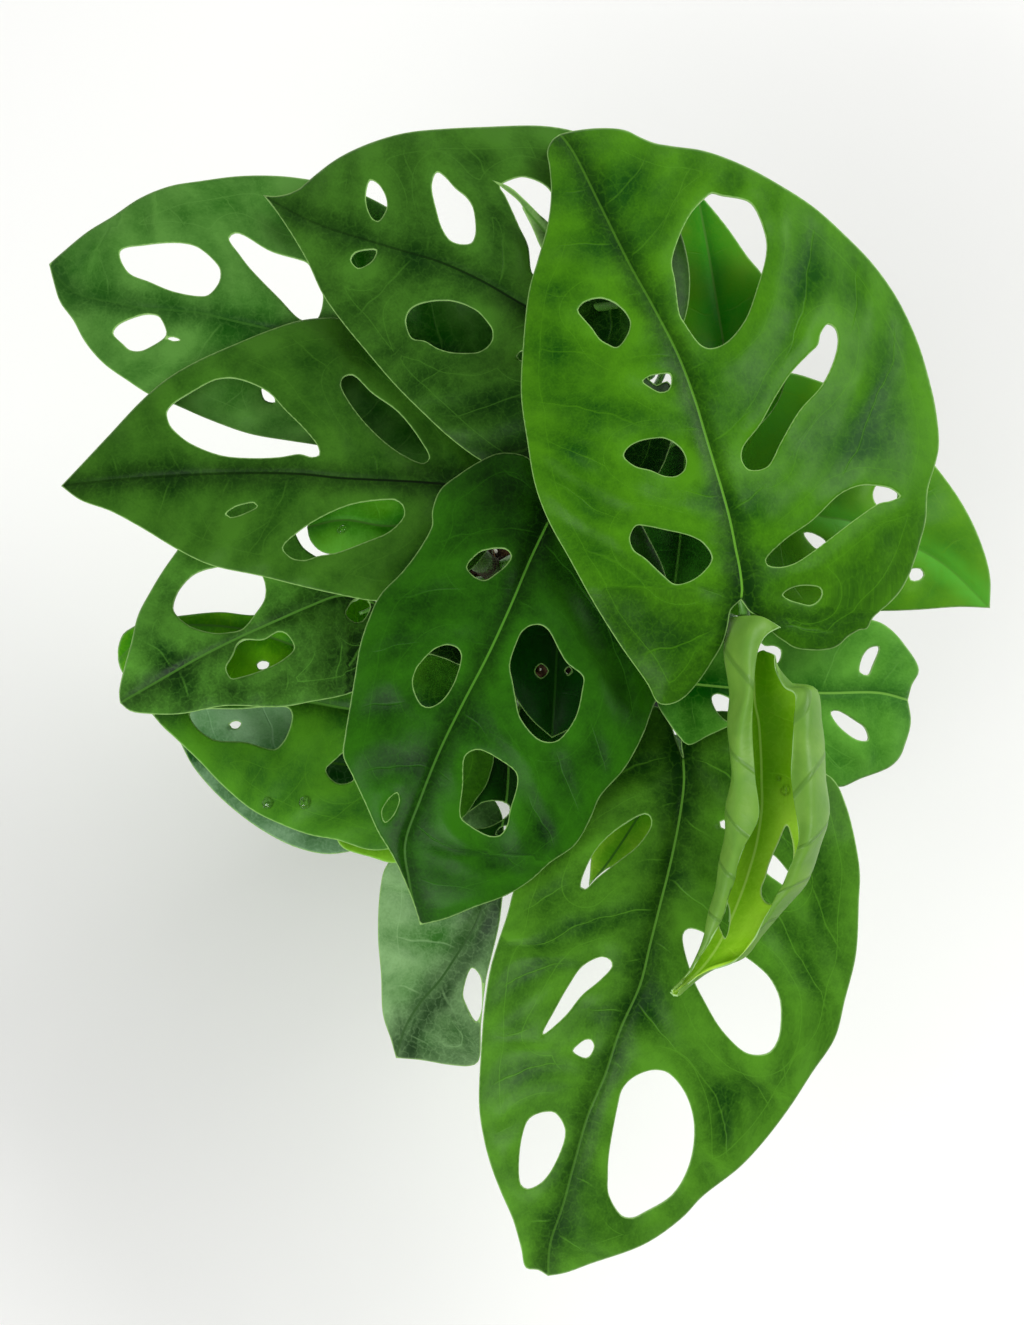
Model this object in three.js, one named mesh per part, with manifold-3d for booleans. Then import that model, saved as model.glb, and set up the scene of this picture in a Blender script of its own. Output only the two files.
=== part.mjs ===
// Monstera adansonii in a plain round pot: four vine stems in potting mix and
// nineteen leaves with their natural holes. Millimetres, +Z up, the pot's axis on
// the Z axis and its base at z = 0. The front of the plant faces -Y.
import * as THREE from 'three';
import { mergeVertices } from 'three/addons/utils/BufferGeometryUtils.js';
import Module from 'manifold-3d';

const wasm = await Module();
wasm.setup();

// ---- Driving dimensions (mm) ----
const POT_HEIGHT = 95;
const POT_RIM_RADIUS = 55;
const POT_RIM_HEIGHT = 10;
const POT_NECK_RADIUS = 52;
const POT_BASE_RADIUS = 39;
const POT_WALL = 2.2;
const POT_FLOOR = 3;
const POT_SIDES = 40;
const DRAIN_COUNT = 5;
const DRAIN_RADIUS = 4;
const DRAIN_RING = 24;

const FIT = 0.35; // air between pieces that touch on the real plant
const SOIL_TOP = 82;
const SOIL_DOME = 3; // the middle stands this much above the edge
const SOIL_SHOULDER = 0.6; // where the dome starts to fall, as a share of the radius
const STEM_RADIUS = 3.4;
const STEM_DEPTH = 14;
const STEM_SIDES = 6;
const NODE_RING_RADIUS = 4.4;
const NODE_RING_HEIGHT = 3;

const BLADE_THICKNESS = 0.8;
const BLADE_CELL = 32; // side of the lattice that bends it
const STEEPEST = 0.4; // the flattest normal that still thickens a sloping blade
const BLADE_SPARE = 2.5; // how far the uncut lattice passes the outline
const CUP_SPAN = 32; // distance from the midrib at which cup gives its drop
const WAVE_SPAN = 50; // distance from the midrib at which the waves are full
const CUT_REACH = 40; // how far the cutting prism passes the blade, up and down
const PETIOLE_SIDES = 6;
const PETIOLE_INSET = 7; // length of the petiole that is grown into the blade
const PETIOLE_DROP = 1.1; // its axis below the blade's middle there

// ---- The drawing sheet ----
// Leaf outlines are drawn on one sheet, as the plant looks from EYE: a height above
// the table then gives each point of a leaf its place. A sheet unit is 0.32 mm at
// EYE_DISTANCE, and the sheet's y runs down.
const SHEET_CENTRE = [512, 662.5];
const SHEET_UNIT = 0.32;
const EYE_ELEVATION = THREE.MathUtils.degToRad(72);
const EYE_DISTANCE = 750;
const AIM = new THREE.Vector3(-27, -61, 190);
const SHEET_RIGHT = new THREE.Vector3(1, 0, 0);
const SHEET_UP = new THREE.Vector3(0, Math.sin(EYE_ELEVATION), Math.cos(EYE_ELEVATION));
const EYE_FORWARD = new THREE.Vector3(0, Math.cos(EYE_ELEVATION), -Math.sin(EYE_ELEVATION));
const EYE = AIM.clone().addScaledVector(EYE_FORWARD, -EYE_DISTANCE);

function placeOnSheet(u, v, height) {
  const ray = EYE_FORWARD.clone().multiplyScalar(EYE_DISTANCE);
  ray.addScaledVector(SHEET_RIGHT, (u - SHEET_CENTRE[0]) * SHEET_UNIT);
  ray.addScaledVector(SHEET_UP, (SHEET_CENTRE[1] - v) * SHEET_UNIT);
  return EYE.clone().addScaledVector(ray, (height - EYE.z) / ray.z);
}

// ---- Solids ----
function solidFrom(geometry) {
  const bare = geometry.clone();
  bare.deleteAttribute('normal');
  bare.deleteAttribute('uv');
  const merged = mergeVertices(bare, 1e-4);
  const mesh = new wasm.Mesh({
    numProp: 3,
    vertProperties: new Float32Array(merged.attributes.position.array),
    triVerts: new Uint32Array(merged.index.array),
  });
  return new wasm.Manifold(mesh);
}

function solidFromArrays(points, triangles) {
  const vertProperties = new Float32Array(points.flatMap((p) => [p.x, p.y, p.z]));
  const mesh = new wasm.Mesh({ numProp: 3, vertProperties, triVerts: new Uint32Array(triangles) });
  return new wasm.Manifold(mesh);
}

function meshFrom(name, solid, colour, roughness) {
  const { vertProperties, triVerts } = solid.getMesh();
  const geometry = new THREE.BufferGeometry();
  geometry.setAttribute('position', new THREE.BufferAttribute(Float32Array.from(vertProperties), 3));
  geometry.setIndex(new THREE.BufferAttribute(Uint32Array.from(triVerts), 1));
  geometry.computeVertexNormals();
  const material = new THREE.MeshStandardMaterial({ color: colour, roughness, metalness: 0 });
  const mesh = new THREE.Mesh(geometry, material);
  mesh.name = name;
  return mesh;
}

function roundSection(radius, sides) {
  const shape = new THREE.Shape();
  for (let i = 0; i < sides; i += 1) {
    const angle = (2 * Math.PI * i) / sides;
    const x = radius * Math.cos(angle);
    const y = radius * Math.sin(angle);
    if (i === 0) shape.moveTo(x, y);
    else shape.lineTo(x, y);
  }
  shape.closePath();
  return shape;
}

function rod(path, radius, sides, steps) {
  const options = { steps, bevelEnabled: false, extrudePath: path };
  return solidFrom(new THREE.ExtrudeGeometry(roundSection(radius, sides), options));
}

function post(x, y, bottom, top, radius, sides) {
  const geometry = new THREE.CylinderGeometry(radius, radius, top - bottom, sides);
  geometry.rotateX(Math.PI / 2);
  geometry.translate(x, y, (bottom + top) / 2);
  return solidFrom(geometry);
}

function turned(profile, sides) {
  const geometry = new THREE.LatheGeometry(profile.map(([r, z]) => new THREE.Vector2(r, z)), sides);
  geometry.rotateX(Math.PI / 2);
  return solidFrom(geometry);
}

// ---- Pot and soil ----
const POT_SLOPE = (POT_NECK_RADIUS - POT_BASE_RADIUS) / (POT_HEIGHT - POT_RIM_HEIGHT);
const potInnerRadius = (z) => POT_BASE_RADIUS - POT_WALL + POT_SLOPE * z;

function makePot() {
  const neck = POT_HEIGHT - POT_RIM_HEIGHT;
  let pot = turned([
    [0, 0],
    [POT_BASE_RADIUS, 0],
    [POT_NECK_RADIUS, neck],
    [POT_RIM_RADIUS, neck + 1],
    [POT_RIM_RADIUS, POT_HEIGHT - 1],
    [POT_RIM_RADIUS - 1, POT_HEIGHT],
    [potInnerRadius(POT_HEIGHT), POT_HEIGHT],
    [potInnerRadius(POT_FLOOR), POT_FLOOR],
    [0, POT_FLOOR],
  ], POT_SIDES);
  for (let i = 0; i < DRAIN_COUNT; i += 1) {
    const angle = (2 * Math.PI * i) / DRAIN_COUNT + 0.3;
    const x = DRAIN_RING * Math.cos(angle);
    const y = DRAIN_RING * Math.sin(angle);
    pot = pot.subtract(post(x, y, -1, POT_FLOOR + 1, DRAIN_RADIUS, 10));
  }
  return meshFrom('pot', pot, 0x3d403d, 0.6);
}

function makeSoil(stems) {
  const bottom = POT_FLOOR + FIT;
  const edge = SOIL_TOP - SOIL_DOME;
  let soil = turned([
    [0, bottom],
    [potInnerRadius(bottom) - FIT, bottom],
    [potInnerRadius(edge) - FIT, edge],
    [potInnerRadius(edge) * SOIL_SHOULDER, SOIL_TOP - 1],
    [0, SOIL_TOP],
  ], POT_SIDES);
  for (const stem of Object.values(stems)) {
    const [x, y] = stem.foot;
    soil = soil.subtract(post(x, y, SOIL_TOP - STEM_DEPTH, SOIL_TOP + 5, STEM_RADIUS + FIT, 16));
  }
  return meshFrom('soil', soil, 0x2b211a, 0.95);
}

// ---- Stems ----
// Each vine rises straight out of its hole and then leans out to carry its leaves.
const STEMS = {
  stem_left: { foot: [-24, -2], bends: [[-26, -4, 108], [-33, -10, 136], [-39, -14, 160]] },
  stem_front: { foot: [2, -26], bends: [[2, -29, 106], [5, -38, 130], [8, -46, 152]] },
  stem_right: { foot: [27, -10], bends: [[30, -14, 108], [37, -30, 140], [45, -48, 172]] },
  stem_back: { foot: [4, 22], bends: [[4, 24, 108], [8, 26, 140], [14, 26, 172]] },
};

function stemPath({ foot, bends }) {
  const [x, y] = foot;
  const points = [
    new THREE.Vector3(x, y, SOIL_TOP - STEM_DEPTH + FIT),
    new THREE.Vector3(x, y, SOIL_TOP - STEM_DEPTH / 2),
    new THREE.Vector3(x, y, SOIL_TOP + 4),
    ...bends.map((p) => new THREE.Vector3(...p)),
  ];
  return new THREE.CatmullRomCurve3(points, false, 'centripetal');
}

function ringOn(path, fraction) {
  const ring = new THREE.CylinderGeometry(NODE_RING_RADIUS, NODE_RING_RADIUS, NODE_RING_HEIGHT, STEM_SIDES);
  const turn = new THREE.Quaternion();
  turn.setFromUnitVectors(new THREE.Vector3(0, 1, 0), path.getTangentAt(fraction));
  ring.applyQuaternion(turn);
  const centre = path.getPointAt(fraction);
  ring.translate(centre.x, centre.y, centre.z);
  return solidFrom(ring);
}

function makeStem(name, stem) {
  let solid = rod(stemPath(stem), STEM_RADIUS, STEM_SIDES, 9);
  for (const fraction of stem.nodes) solid = solid.add(ringOn(stemPath(stem), fraction));
  return meshFrom(name, solid, 0x55702f, 0.6);
}

// ---- Leaves ----
// base and tip are the midrib's ends on the sheet; along and across are measured
// from the base, across to the right of the way to the tip. lift holds the heights
// at both ends, the arch between them, the tilt and the fold across, and the waves
// of the margin. A petiole goes down from the base, through via, to a stem's node.
const LEAVES = [
  {
    name: 'leaf_a',
    colour: 0x3f8a1e,
    base: [741, 600],
    tip: [560, 134],
    lift: { base: 238, tip: 221, arch: 19, tilt: -0.09, cup: 4, wave: 1.8, waves: 3 },
    outline: [
      [560, 134], [548, 152], [550, 190], [537, 262], [523, 345], [521, 395], [527, 440], [535, 485],
      [548, 520], [592, 600], [620, 645], [657, 702], [675, 703], [700, 680], [722, 645], [731, 610],
      [741, 598], [750, 612], [785, 642], [825, 650], [848, 637], [873, 618], [908, 578], [926, 520],
      [939, 445], [928, 375], [897, 298], [845, 235], [785, 188], [705, 151], [655, 143], [600, 128],
    ],
    holes: [
      [[578, 310], [592, 299], [615, 303], [630, 322], [617, 347], [600, 339]],
      [[643, 381], [660, 374], [671, 383], [657, 391]],
      [[624, 456], [638, 442], [673, 442], [686, 460], [676, 476], [650, 470]],
      [[630, 538], [645, 526], [690, 536], [712, 558], [690, 581], [675, 584], [645, 558]],
      [[704, 199], [720, 195], [748, 201], [766, 238], [757, 288], [728, 341], [705, 347], [684, 322],
        [672, 262], [685, 224]],
      [[828, 324], [838, 340], [822, 385], [782, 440], [758, 470], [742, 460], [760, 425], [810, 353]],
      [[900, 496], [880, 486], [850, 489], [812, 521], [766, 560], [780, 567], [832, 537]],
      [[783, 595], [800, 586], [822, 592], [812, 605]],
    ],
    petiole: { stem: 'stem_right', node: 0.9, radius: 1.8, via: [[40, -54, 205]] },
  },
  {
    name: 'leaf_b',
    colour: 0x2f7420,
    base: [640, 362],
    tip: [263, 195],
    lift: { base: 219, tip: 196, arch: 12, tilt: 0, cup: 3.5, wave: 1.4, waves: 3 },
    outline: [
      [263, 195], [290, 193], [335, 160], [388, 137], [440, 129], [545, 126], [605, 145], [655, 185],
      [683, 235], [690, 285], [683, 325], [670, 342], [640, 362], [648, 381], [661, 387], [671, 400],
      [670, 440], [655, 480], [620, 497], [575, 492], [520, 478], [480, 460], [425, 415], [365, 350],
      [323, 295], [290, 232],
    ],
    holes: [
      [[366, 190], [376, 181], [387, 205], [378, 221], [368, 212]],
      [[351, 260], [363, 250], [376, 252], [362, 268]],
      [[433, 182], [445, 177], [465, 196], [475, 220], [471, 243], [452, 240], [438, 215]],
      [[406, 320], [420, 304], [450, 301], [480, 314], [492, 335], [478, 352], [437, 348]],
      [[500, 186], [518, 177], [548, 190], [558, 215], [548, 262], [534, 275], [528, 245], [512, 210]],
    ],
    petiole: { stem: 'stem_back', node: 0.9, radius: 1.6, via: [[12, 35, 196]] },
  },
  {
    name: 'leaf_d',
    colour: 0x2c6f1c,
    base: [478, 372],
    tip: [49, 264],
    lift: { base: 190, tip: 168, arch: 13, tilt: 0.03, cup: 2.5, wave: 1.8, waves: 3 },
    outline: [
      [49, 264], [65, 250], [113, 216], [170, 186], [240, 176], [312, 180], [366, 196], [420, 230],
      [465, 290], [492, 318], [522, 338], [533, 358], [512, 376], [478, 372], [498, 412], [486, 446],
      [452, 470], [415, 474], [372, 462], [316, 445], [250, 434], [173, 404], [128, 381], [85, 342],
      [60, 302],
    ],
    holes: [
      [[120, 251], [145, 245], [197, 247], [220, 270], [208, 295], [172, 291], [128, 272]],
      [[113, 333], [138, 316], [160, 317], [166, 335], [140, 351], [123, 344]],
      [[229, 238], [243, 235], [300, 260], [323, 298], [316, 320], [302, 320], [278, 297], [240, 255]],
      [[262, 388], [272, 391], [275, 402], [265, 400]],
    ],
    petiole: { stem: 'stem_back', node: 0.72, radius: 1.5, via: [[-14, 34, 168]] },
  },
  {
    name: 'leaf_e',
    colour: 0x2a641a,
    base: [490, 488],
    tip: [61, 486],
    lift: { base: 203, tip: 184, arch: 9, tilt: 0, cup: 2.5, wave: 1.5, waves: 3 },
    outline: [
      [61, 486], [80, 466], [140, 402], [195, 362], [235, 344], [302, 320], [350, 318], [385, 340],
      [430, 378], [468, 415], [488, 455], [490, 488], [496, 520], [480, 560], [440, 590], [375, 601],
      [300, 586], [210, 565], [140, 527], [80, 500],
    ],
    holes: [
      [[167, 412], [192, 392], [228, 378], [268, 392], [305, 430], [319, 455], [280, 457], [220, 455],
        [178, 434]],
      [[341, 385], [352, 375], [398, 412], [429, 458], [400, 453], [372, 430]],
      [[226, 514], [254, 503], [230, 517]],
      [[283, 548], [320, 518], [380, 500], [402, 505], [404, 515], [365, 542], [318, 556]],
    ],
    petiole: { stem: 'stem_left', node: 0.95, radius: 1.6, via: [[-45, -8, 182]] },
  },
  {
    name: 'leaf_f',
    colour: 0x256318,
    base: [549, 520],
    tip: [420, 925],
    lift: { base: 226, tip: 186, arch: 14, tilt: 0, cup: 3.5, wave: 1.5, waves: 3 },
    outline: [
      [420, 925], [404, 880], [378, 832], [345, 765], [345, 735], [355, 675], [369, 618], [402, 572],
      [432, 525], [440, 490], [480, 461], [500, 453], [527, 457], [543, 485], [549, 520], [560, 492],
      [612, 492], [650, 540], [670, 600], [672, 650], [655, 703], [625, 768], [600, 797], [575, 845],
      [530, 881], [475, 907],
    ],
    holes: [
      [[467, 567], [482, 551], [511, 556], [495, 574], [477, 577]],
      [[414, 690], [417, 668], [435, 649], [457, 648], [455, 680], [440, 702], [422, 705]],
      [[510, 665], [522, 632], [540, 625], [560, 652], [583, 677], [575, 718], [548, 742], [520, 717]],
      [[465, 757], [480, 750], [516, 773], [510, 810], [490, 836], [461, 817]],
      [[382, 812], [397, 793], [393, 815]],
    ],
    petiole: { stem: 'stem_left', node: 0.8, radius: 1.7, via: [[-14, -12, 190]] },
  },
  {
    name: 'leaf_g',
    colour: 0x2f7a1c,
    base: [683, 757],
    tip: [548, 1274],
    lift: { base: 198, tip: 128, arch: 23, tilt: 0, cup: 4, wave: 1.8, waves: 3 },
    outline: [
      [548, 1274], [526, 1268], [521, 1248], [500, 1190], [483, 1135], [479, 1105], [484, 1010],
      [497, 945], [514, 889], [545, 825], [592, 755], [625, 722], [655, 706], [672, 727], [683, 757],
      [683, 732], [698, 717], [735, 712], [762, 728], [806, 764], [833, 779], [857, 850], [859, 900],
      [856, 955],
      [835, 1038], [812, 1073], [765, 1140], [702, 1197], [645, 1244], [590, 1264],
    ],
    holes: [
      [[581, 887], [600, 845], [645, 814], [651, 825], [617, 862]],
      [[543, 1034], [568, 987], [602, 957], [612, 966], [582, 995]],
      [[573, 1051], [591, 1040], [586, 1058]],
      [[520, 1150], [533, 1116], [555, 1113], [565, 1130], [542, 1182], [521, 1185]],
      [[609, 1155], [622, 1090], [655, 1070], [685, 1093], [694, 1125], [689, 1165], [645, 1212],
        [622, 1216], [608, 1190]],
      [[683, 935], [700, 931], [767, 975], [781, 1020], [770, 1052], [745, 1052], [705, 1002]],
      [[760, 854], [774, 856], [793, 880], [788, 889], [762, 870]],
    ],
    petiole: { stem: 'stem_front', node: 0.95, radius: 1.8, via: [[17, -76, 172]] },
  },
  {
    name: 'leaf_i',
    colour: 0x2b6e1d,
    base: [692, 684],
    tip: [911, 702],
    lift: { base: 212, tip: 168, arch: 6, tilt: -0.22, cup: 3, wave: 1.0, waves: 2 },
    outline: [
      [911, 702], [910, 722], [890, 767], [860, 779], [840, 787], [812, 768], [795, 728], [765, 714],
      [740, 722], [710, 735], [688, 745], [672, 727], [657, 702], [668, 690], [692, 684], [700, 668],
      [712, 650], [724, 641], [736, 640], [743, 627], [754, 619], [775, 616], [820, 618], [873, 620],
      [905, 645], [919, 670],
    ],
    holes: [
      [[860, 672], [870, 648], [879, 647], [868, 675]],
      [[831, 712], [857, 722], [868, 740], [838, 725]],
      [[712, 697], [731, 700], [728, 721], [716, 710]],
      [[738, 654], [741, 642], [750, 634], [764, 636], [779, 647], [780, 656], [770, 667], [748, 668]],
    ],
    petiole: { stem: 'stem_right', node: 0.8, radius: 1.4, via: [[36, -56, 178]] },
  },
  {
    name: 'leaf_j',
    colour: 0x2e7a22,
    base: [742, 492],
    tip: [989, 608],
    lift: { base: 188, tip: 150, arch: 12, tilt: 0, cup: 3, wave: 1.5, waves: 3 },
    outline: [
      [989, 608], [960, 607], [915, 610], [880, 611], [840, 609], [800, 612], [768, 618], [748, 616],
      [730, 614], [718, 600], [718, 580], [727, 552], [742, 492], [726, 460], [735, 400], [760, 372],
      [822, 382], [880, 410], [937, 468], [978, 535], [991, 580],
    ],
    holes: [
      [[873, 495], [881, 484], [897, 491], [893, 505], [880, 507]],
      [[804, 533], [815, 535], [826, 542], [812, 548]],
      [[910, 570], [924, 575], [914, 581]],
    ],
    petiole: { stem: 'stem_right', node: 0.72, radius: 1.5, via: [[56, -8, 168]] },
  },
  {
    name: 'leaf_k',
    colour: 0x2a6f20,
    base: [737, 425],
    tip: [697, 192],
    lift: { base: 206, tip: 184, arch: 8, tilt: 0, cup: 3, wave: 0.8, waves: 2 },
    outline: [
      [697, 192], [727, 227], [762, 274], [783, 320], [786, 370], [772, 410], [748, 432], [737, 425],
      [718, 428], [690, 395], [674, 345], [668, 290], [675, 240],
    ],
    holes: [],
    petiole: { stem: 'stem_back', node: 0.97, radius: 1.3, via: [[34, 18, 190]] },
  },
  {
    name: 'leaf_l',
    colour: 0x2a7319,
    base: [380, 606],
    tip: [120, 703],
    lift: { base: 184, tip: 156, arch: 8, tilt: 0, cup: 2.5, wave: 1.2, waves: 3 },
    outline: [
      [120, 703], [119, 690], [131, 643], [150, 592], [176, 552], [218, 504], [256, 498], [317, 557],
      [360, 585], [380, 606], [404, 608], [432, 622], [460, 642], [466, 663], [428, 655], [404, 656],
      [386, 674], [351, 693], [310, 702], [225, 706], [180, 714],
    ],
    holes: [
      [[173, 608], [192, 576], [218, 567], [240, 560], [262, 576], [255, 614], [230, 632], [190, 626]],
      [[226, 668], [243, 640], [278, 632], [294, 648], [262, 670], [240, 677]],
      [[346, 614], [360, 598], [370, 607], [355, 622]],
    ],
    petiole: { stem: 'stem_left', node: 0.66, radius: 1.5, via: [[-60, -24, 164]] },
  },
  {
    name: 'leaf_m',
    colour: 0x5a8f1e,
    base: [352, 668],
    tip: [118, 660],
    lift: { base: 171, tip: 144, arch: 6, tilt: 0, cup: 2, wave: 0.8, waves: 2 },
    outline: [
      [118, 660], [123, 634], [140, 622], [177, 618], [254, 615], [318, 600], [362, 598], [376, 625],
      [352, 668], [346, 690], [290, 702], [220, 702], [150, 690], [123, 672],
    ],
    holes: [
      [[258, 664], [268, 662], [267, 668], [259, 669]],
    ],
    petiole: { stem: 'stem_left', node: 0.58, radius: 1.2, via: [[-58, -36, 150]] },
  },
  {
    name: 'leaf_n',
    colour: 0x2c7a1e,
    base: [458, 708],
    tip: [151, 713],
    lift: { base: 166, tip: 132, arch: 8, tilt: 0, cup: 2, wave: 1.2, waves: 3 },
    outline: [
      [151, 713], [175, 738], [222, 785], [252, 810], [280, 824], [337, 840], [370, 850], [420, 842],
      [463, 818], [484, 790], [494, 760], [484, 728], [458, 708], [470, 690], [455, 662], [430, 654],
      [408, 664], [385, 686], [330, 684], [250, 686], [190, 696],
    ],
    holes: [
      [[190, 712], [240, 710], [288, 708], [287, 735], [275, 749], [245, 742], [205, 734]],
      [[326, 770], [346, 752], [353, 780], [337, 783]],
    ],
    petiole: { stem: 'stem_left', node: 0.5, radius: 1.4, via: [[-42, -44, 148]] },
  },
  {
    name: 'leaf_o',
    colour: 0x5f8a55,
    base: [418, 768],
    tip: [184, 744],
    lift: { base: 146, tip: 114, arch: 6, tilt: 0, cup: 1.5, wave: 0.8, waves: 2 },
    outline: [
      [178, 740], [192, 765], [208, 785], [247, 820], [295, 847], [325, 854], [352, 851], [392, 832],
      [416, 800], [418, 768], [412, 740], [370, 700], [300, 686], [230, 688], [196, 697], [180, 716],
    ],
    holes: [
      [[230, 723], [240, 722], [238, 728]],
    ],
    petiole: { stem: 'stem_left', node: 0.42, radius: 1.3, via: [[-46, -54, 130]] },
  },
  {
    name: 'leaf_q',
    colour: 0x63b31a,
    base: [425, 815],
    tip: [336, 831],
    lift: { base: 152, tip: 146, arch: 3, tilt: 0, cup: 1.5, wave: 0.3, waves: 1 },
    outline: [
      [336, 831], [343, 848], [370, 857], [396, 863], [415, 852], [428, 834], [425, 815], [418, 802],
      [390, 806], [360, 818],
    ],
    holes: [],
    petiole: { stem: 'stem_front', node: 0.5, radius: 1.2, via: [[-30, -76, 120]] },
  },
  {
    name: 'leaf_p',
    colour: 0x33702c,
    base: [505, 846],
    tip: [396, 1058],
    lift: { base: 147, tip: 78, arch: 14, tilt: 0, cup: 2.0, wave: 1.2, waves: 2 },
    outline: [
      [396, 1058], [391, 1040], [383, 1015], [381, 975], [378, 935], [380, 890], [390, 866],
      [418, 862], [440, 845], [450, 820], [466, 800], [490, 796], [505, 846], [520, 862], [512, 905],
      [498, 930], [486, 975],
      [480, 1030], [478, 1064], [450, 1065], [420, 1060],
    ],
    holes: [
      [[464, 990], [473, 968], [481, 985], [482, 1008], [476, 1022]],
    ],
    petiole: { stem: 'stem_front', node: 0.8, radius: 1.4, via: [[-20, -100, 144], [-6, -68, 130]] },
  },
  {
    name: 'leaf_s',
    colour: 0x55a51c,
    base: [432, 520],
    tip: [307, 527],
    lift: { base: 195, tip: 190, arch: 2, tilt: 0, cup: 1.5, wave: 0.3, waves: 1 },
    outline: [
      [307, 527], [310, 540], [322, 552], [345, 554], [370, 544], [405, 545], [428, 536], [432, 520],
      [428, 503], [395, 490], [345, 492], [320, 505],
    ],
    holes: [],
    petiole: { stem: 'stem_left', node: 0.88, radius: 1.2, via: [[-56, -12, 176]] },
  },
  {
    name: 'leaf_t',
    colour: 0x1f4a18,
    base: [565, 604],
    tip: [552, 738],
    lift: { base: 178, tip: 168, arch: 4, tilt: 0, cup: 2.0, wave: 0.5, waves: 2 },
    outline: [
      [552, 738], [530, 718], [512, 690], [506, 655], [514, 625], [538, 604], [565, 604], [590, 612],
      [602, 645], [596, 690], [575, 725],
    ],
    holes: [
      [[535, 671], [541, 664], [548, 671], [541, 678]],
      [[565, 671], [569, 667], [572, 672], [568, 675]],
    ],
    petiole: { stem: 'stem_front', node: 0.66, radius: 1.2, via: [[-2, -22, 152]] },
  },
  {
    name: 'leaf_r',
    colour: 0x1f4a18,
    base: [520, 705],
    tip: [495, 884],
    lift: { base: 162, tip: 156, arch: 3, tilt: 0, cup: 2.0, wave: 0.5, waves: 2 },
    outline: [
      [495, 884], [470, 868], [450, 842], [447, 808], [458, 770], [480, 735], [500, 712], [520, 705],
      [548, 708], [578, 730], [588, 765], [578, 810], [550, 850], [515, 878],
    ],
    holes: [
      [[463, 818], [475, 806], [490, 801], [503, 802], [509, 810], [490, 826], [476, 827]],
    ],
    petiole: { stem: 'stem_front', node: 0.55, radius: 1.2, via: [[-8, -54, 140]] },
  },
  {
    name: 'leaf_u',
    colour: 0x6f9e1c,
    base: [668, 762],
    tip: [589, 886],
    lift: { base: 166, tip: 158, arch: 4, tilt: 0, cup: 2.0, wave: 0.5, waves: 2 },
    outline: [
      [589, 886], [590, 862], [596, 830], [606, 795], [628, 768], [650, 758], [668, 762], [682, 778],
      [688, 800], [675, 832], [650, 855], [625, 866], [604, 870],
    ],
    holes: [],
    petiole: { stem: 'stem_right', node: 0.45, radius: 1.2, via: [[30, -84, 142]] },
  },
  {
    name: 'leaf_v',
    colour: 0x2c6a14,
    base: [686, 436],
    tip: [668, 636],
    lift: { base: 164, tip: 160, arch: 4, tilt: 0, cup: 2.0, wave: 0.6, waves: 2 },
    outline: [
      [668, 636], [645, 615], [630, 580], [625, 535], [632, 490], [650, 455], [668, 440], [686, 436],
      [704, 440], [720, 470], [726, 515], [720, 560], [705, 600], [688, 625],
    ],
    holes: [],
    petiole: { stem: 'stem_right', node: 0.6, radius: 1.2, via: [[36, 6, 150]] },
  },
  {
    name: 'leaf_spear',
    colour: 0x6a9c4a,
    base: [584, 290],
    tip: [492, 180],
    lift: { base: 227, tip: 225, arch: 3, tilt: 0, cup: 18, wave: 0, waves: 1 },
    outline: [
      [492, 180], [510, 187], [525, 200], [548, 222], [572, 258], [584, 290], [562, 272], [541, 248],
      [520, 203], [505, 190],
    ],
    holes: [],
    petiole: {
      stem: 'stem_back', node: 0.8, radius: 1.2,
      via: [[12, 44, 231], [21.5, 32, 222], [22, 33, 206], [20, 34, 190]],
    },
  },
];

// A leaf's own frame on the sheet: along runs 0 to 1 from base to tip, across is in mm.
function leafFrame({ base, tip, lift }) {
  const length = Math.hypot(tip[0] - base[0], tip[1] - base[1]);
  const ex = (tip[0] - base[0]) / length;
  const ey = (tip[1] - base[1]) / length;
  const toSheet = (s, t) => [base[0] + ex * s - ey * t, base[1] + ey * s + ex * t];
  const toLocal = ([u, v]) => {
    const du = u - base[0];
    const dv = v - base[1];
    return [du * ex + dv * ey, dv * ex - du * ey];
  };
  const height = (u, v) => {
    const [s, t] = toLocal([u, v]);
    const along = s / length;
    const across = t * SHEET_UNIT;
    const level = lift.base + (lift.tip - lift.base) * along + 4 * lift.arch * along * (1 - along);
    const bend = lift.tilt * across - lift.cup * (across / CUP_SPAN) ** 2;
    const share = Math.min(1, (across / WAVE_SPAN) ** 2);
    const ripple = lift.wave * Math.sin(2 * Math.PI * lift.waves * along) * share;
    return level + bend + ripple;
  };
  return { toSheet, toLocal, height };
}

function slopeFactor(height, u, v) {
  const step = 10;
  const here = placeOnSheet(u, v, height(u, v));
  const right = placeOnSheet(u + step, v, height(u + step, v)).sub(here);
  const down = placeOnSheet(u, v + step, height(u, v + step)).sub(here);
  return 1 / Math.max(Math.abs(right.cross(down).normalize().z), STEEPEST);
}

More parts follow.
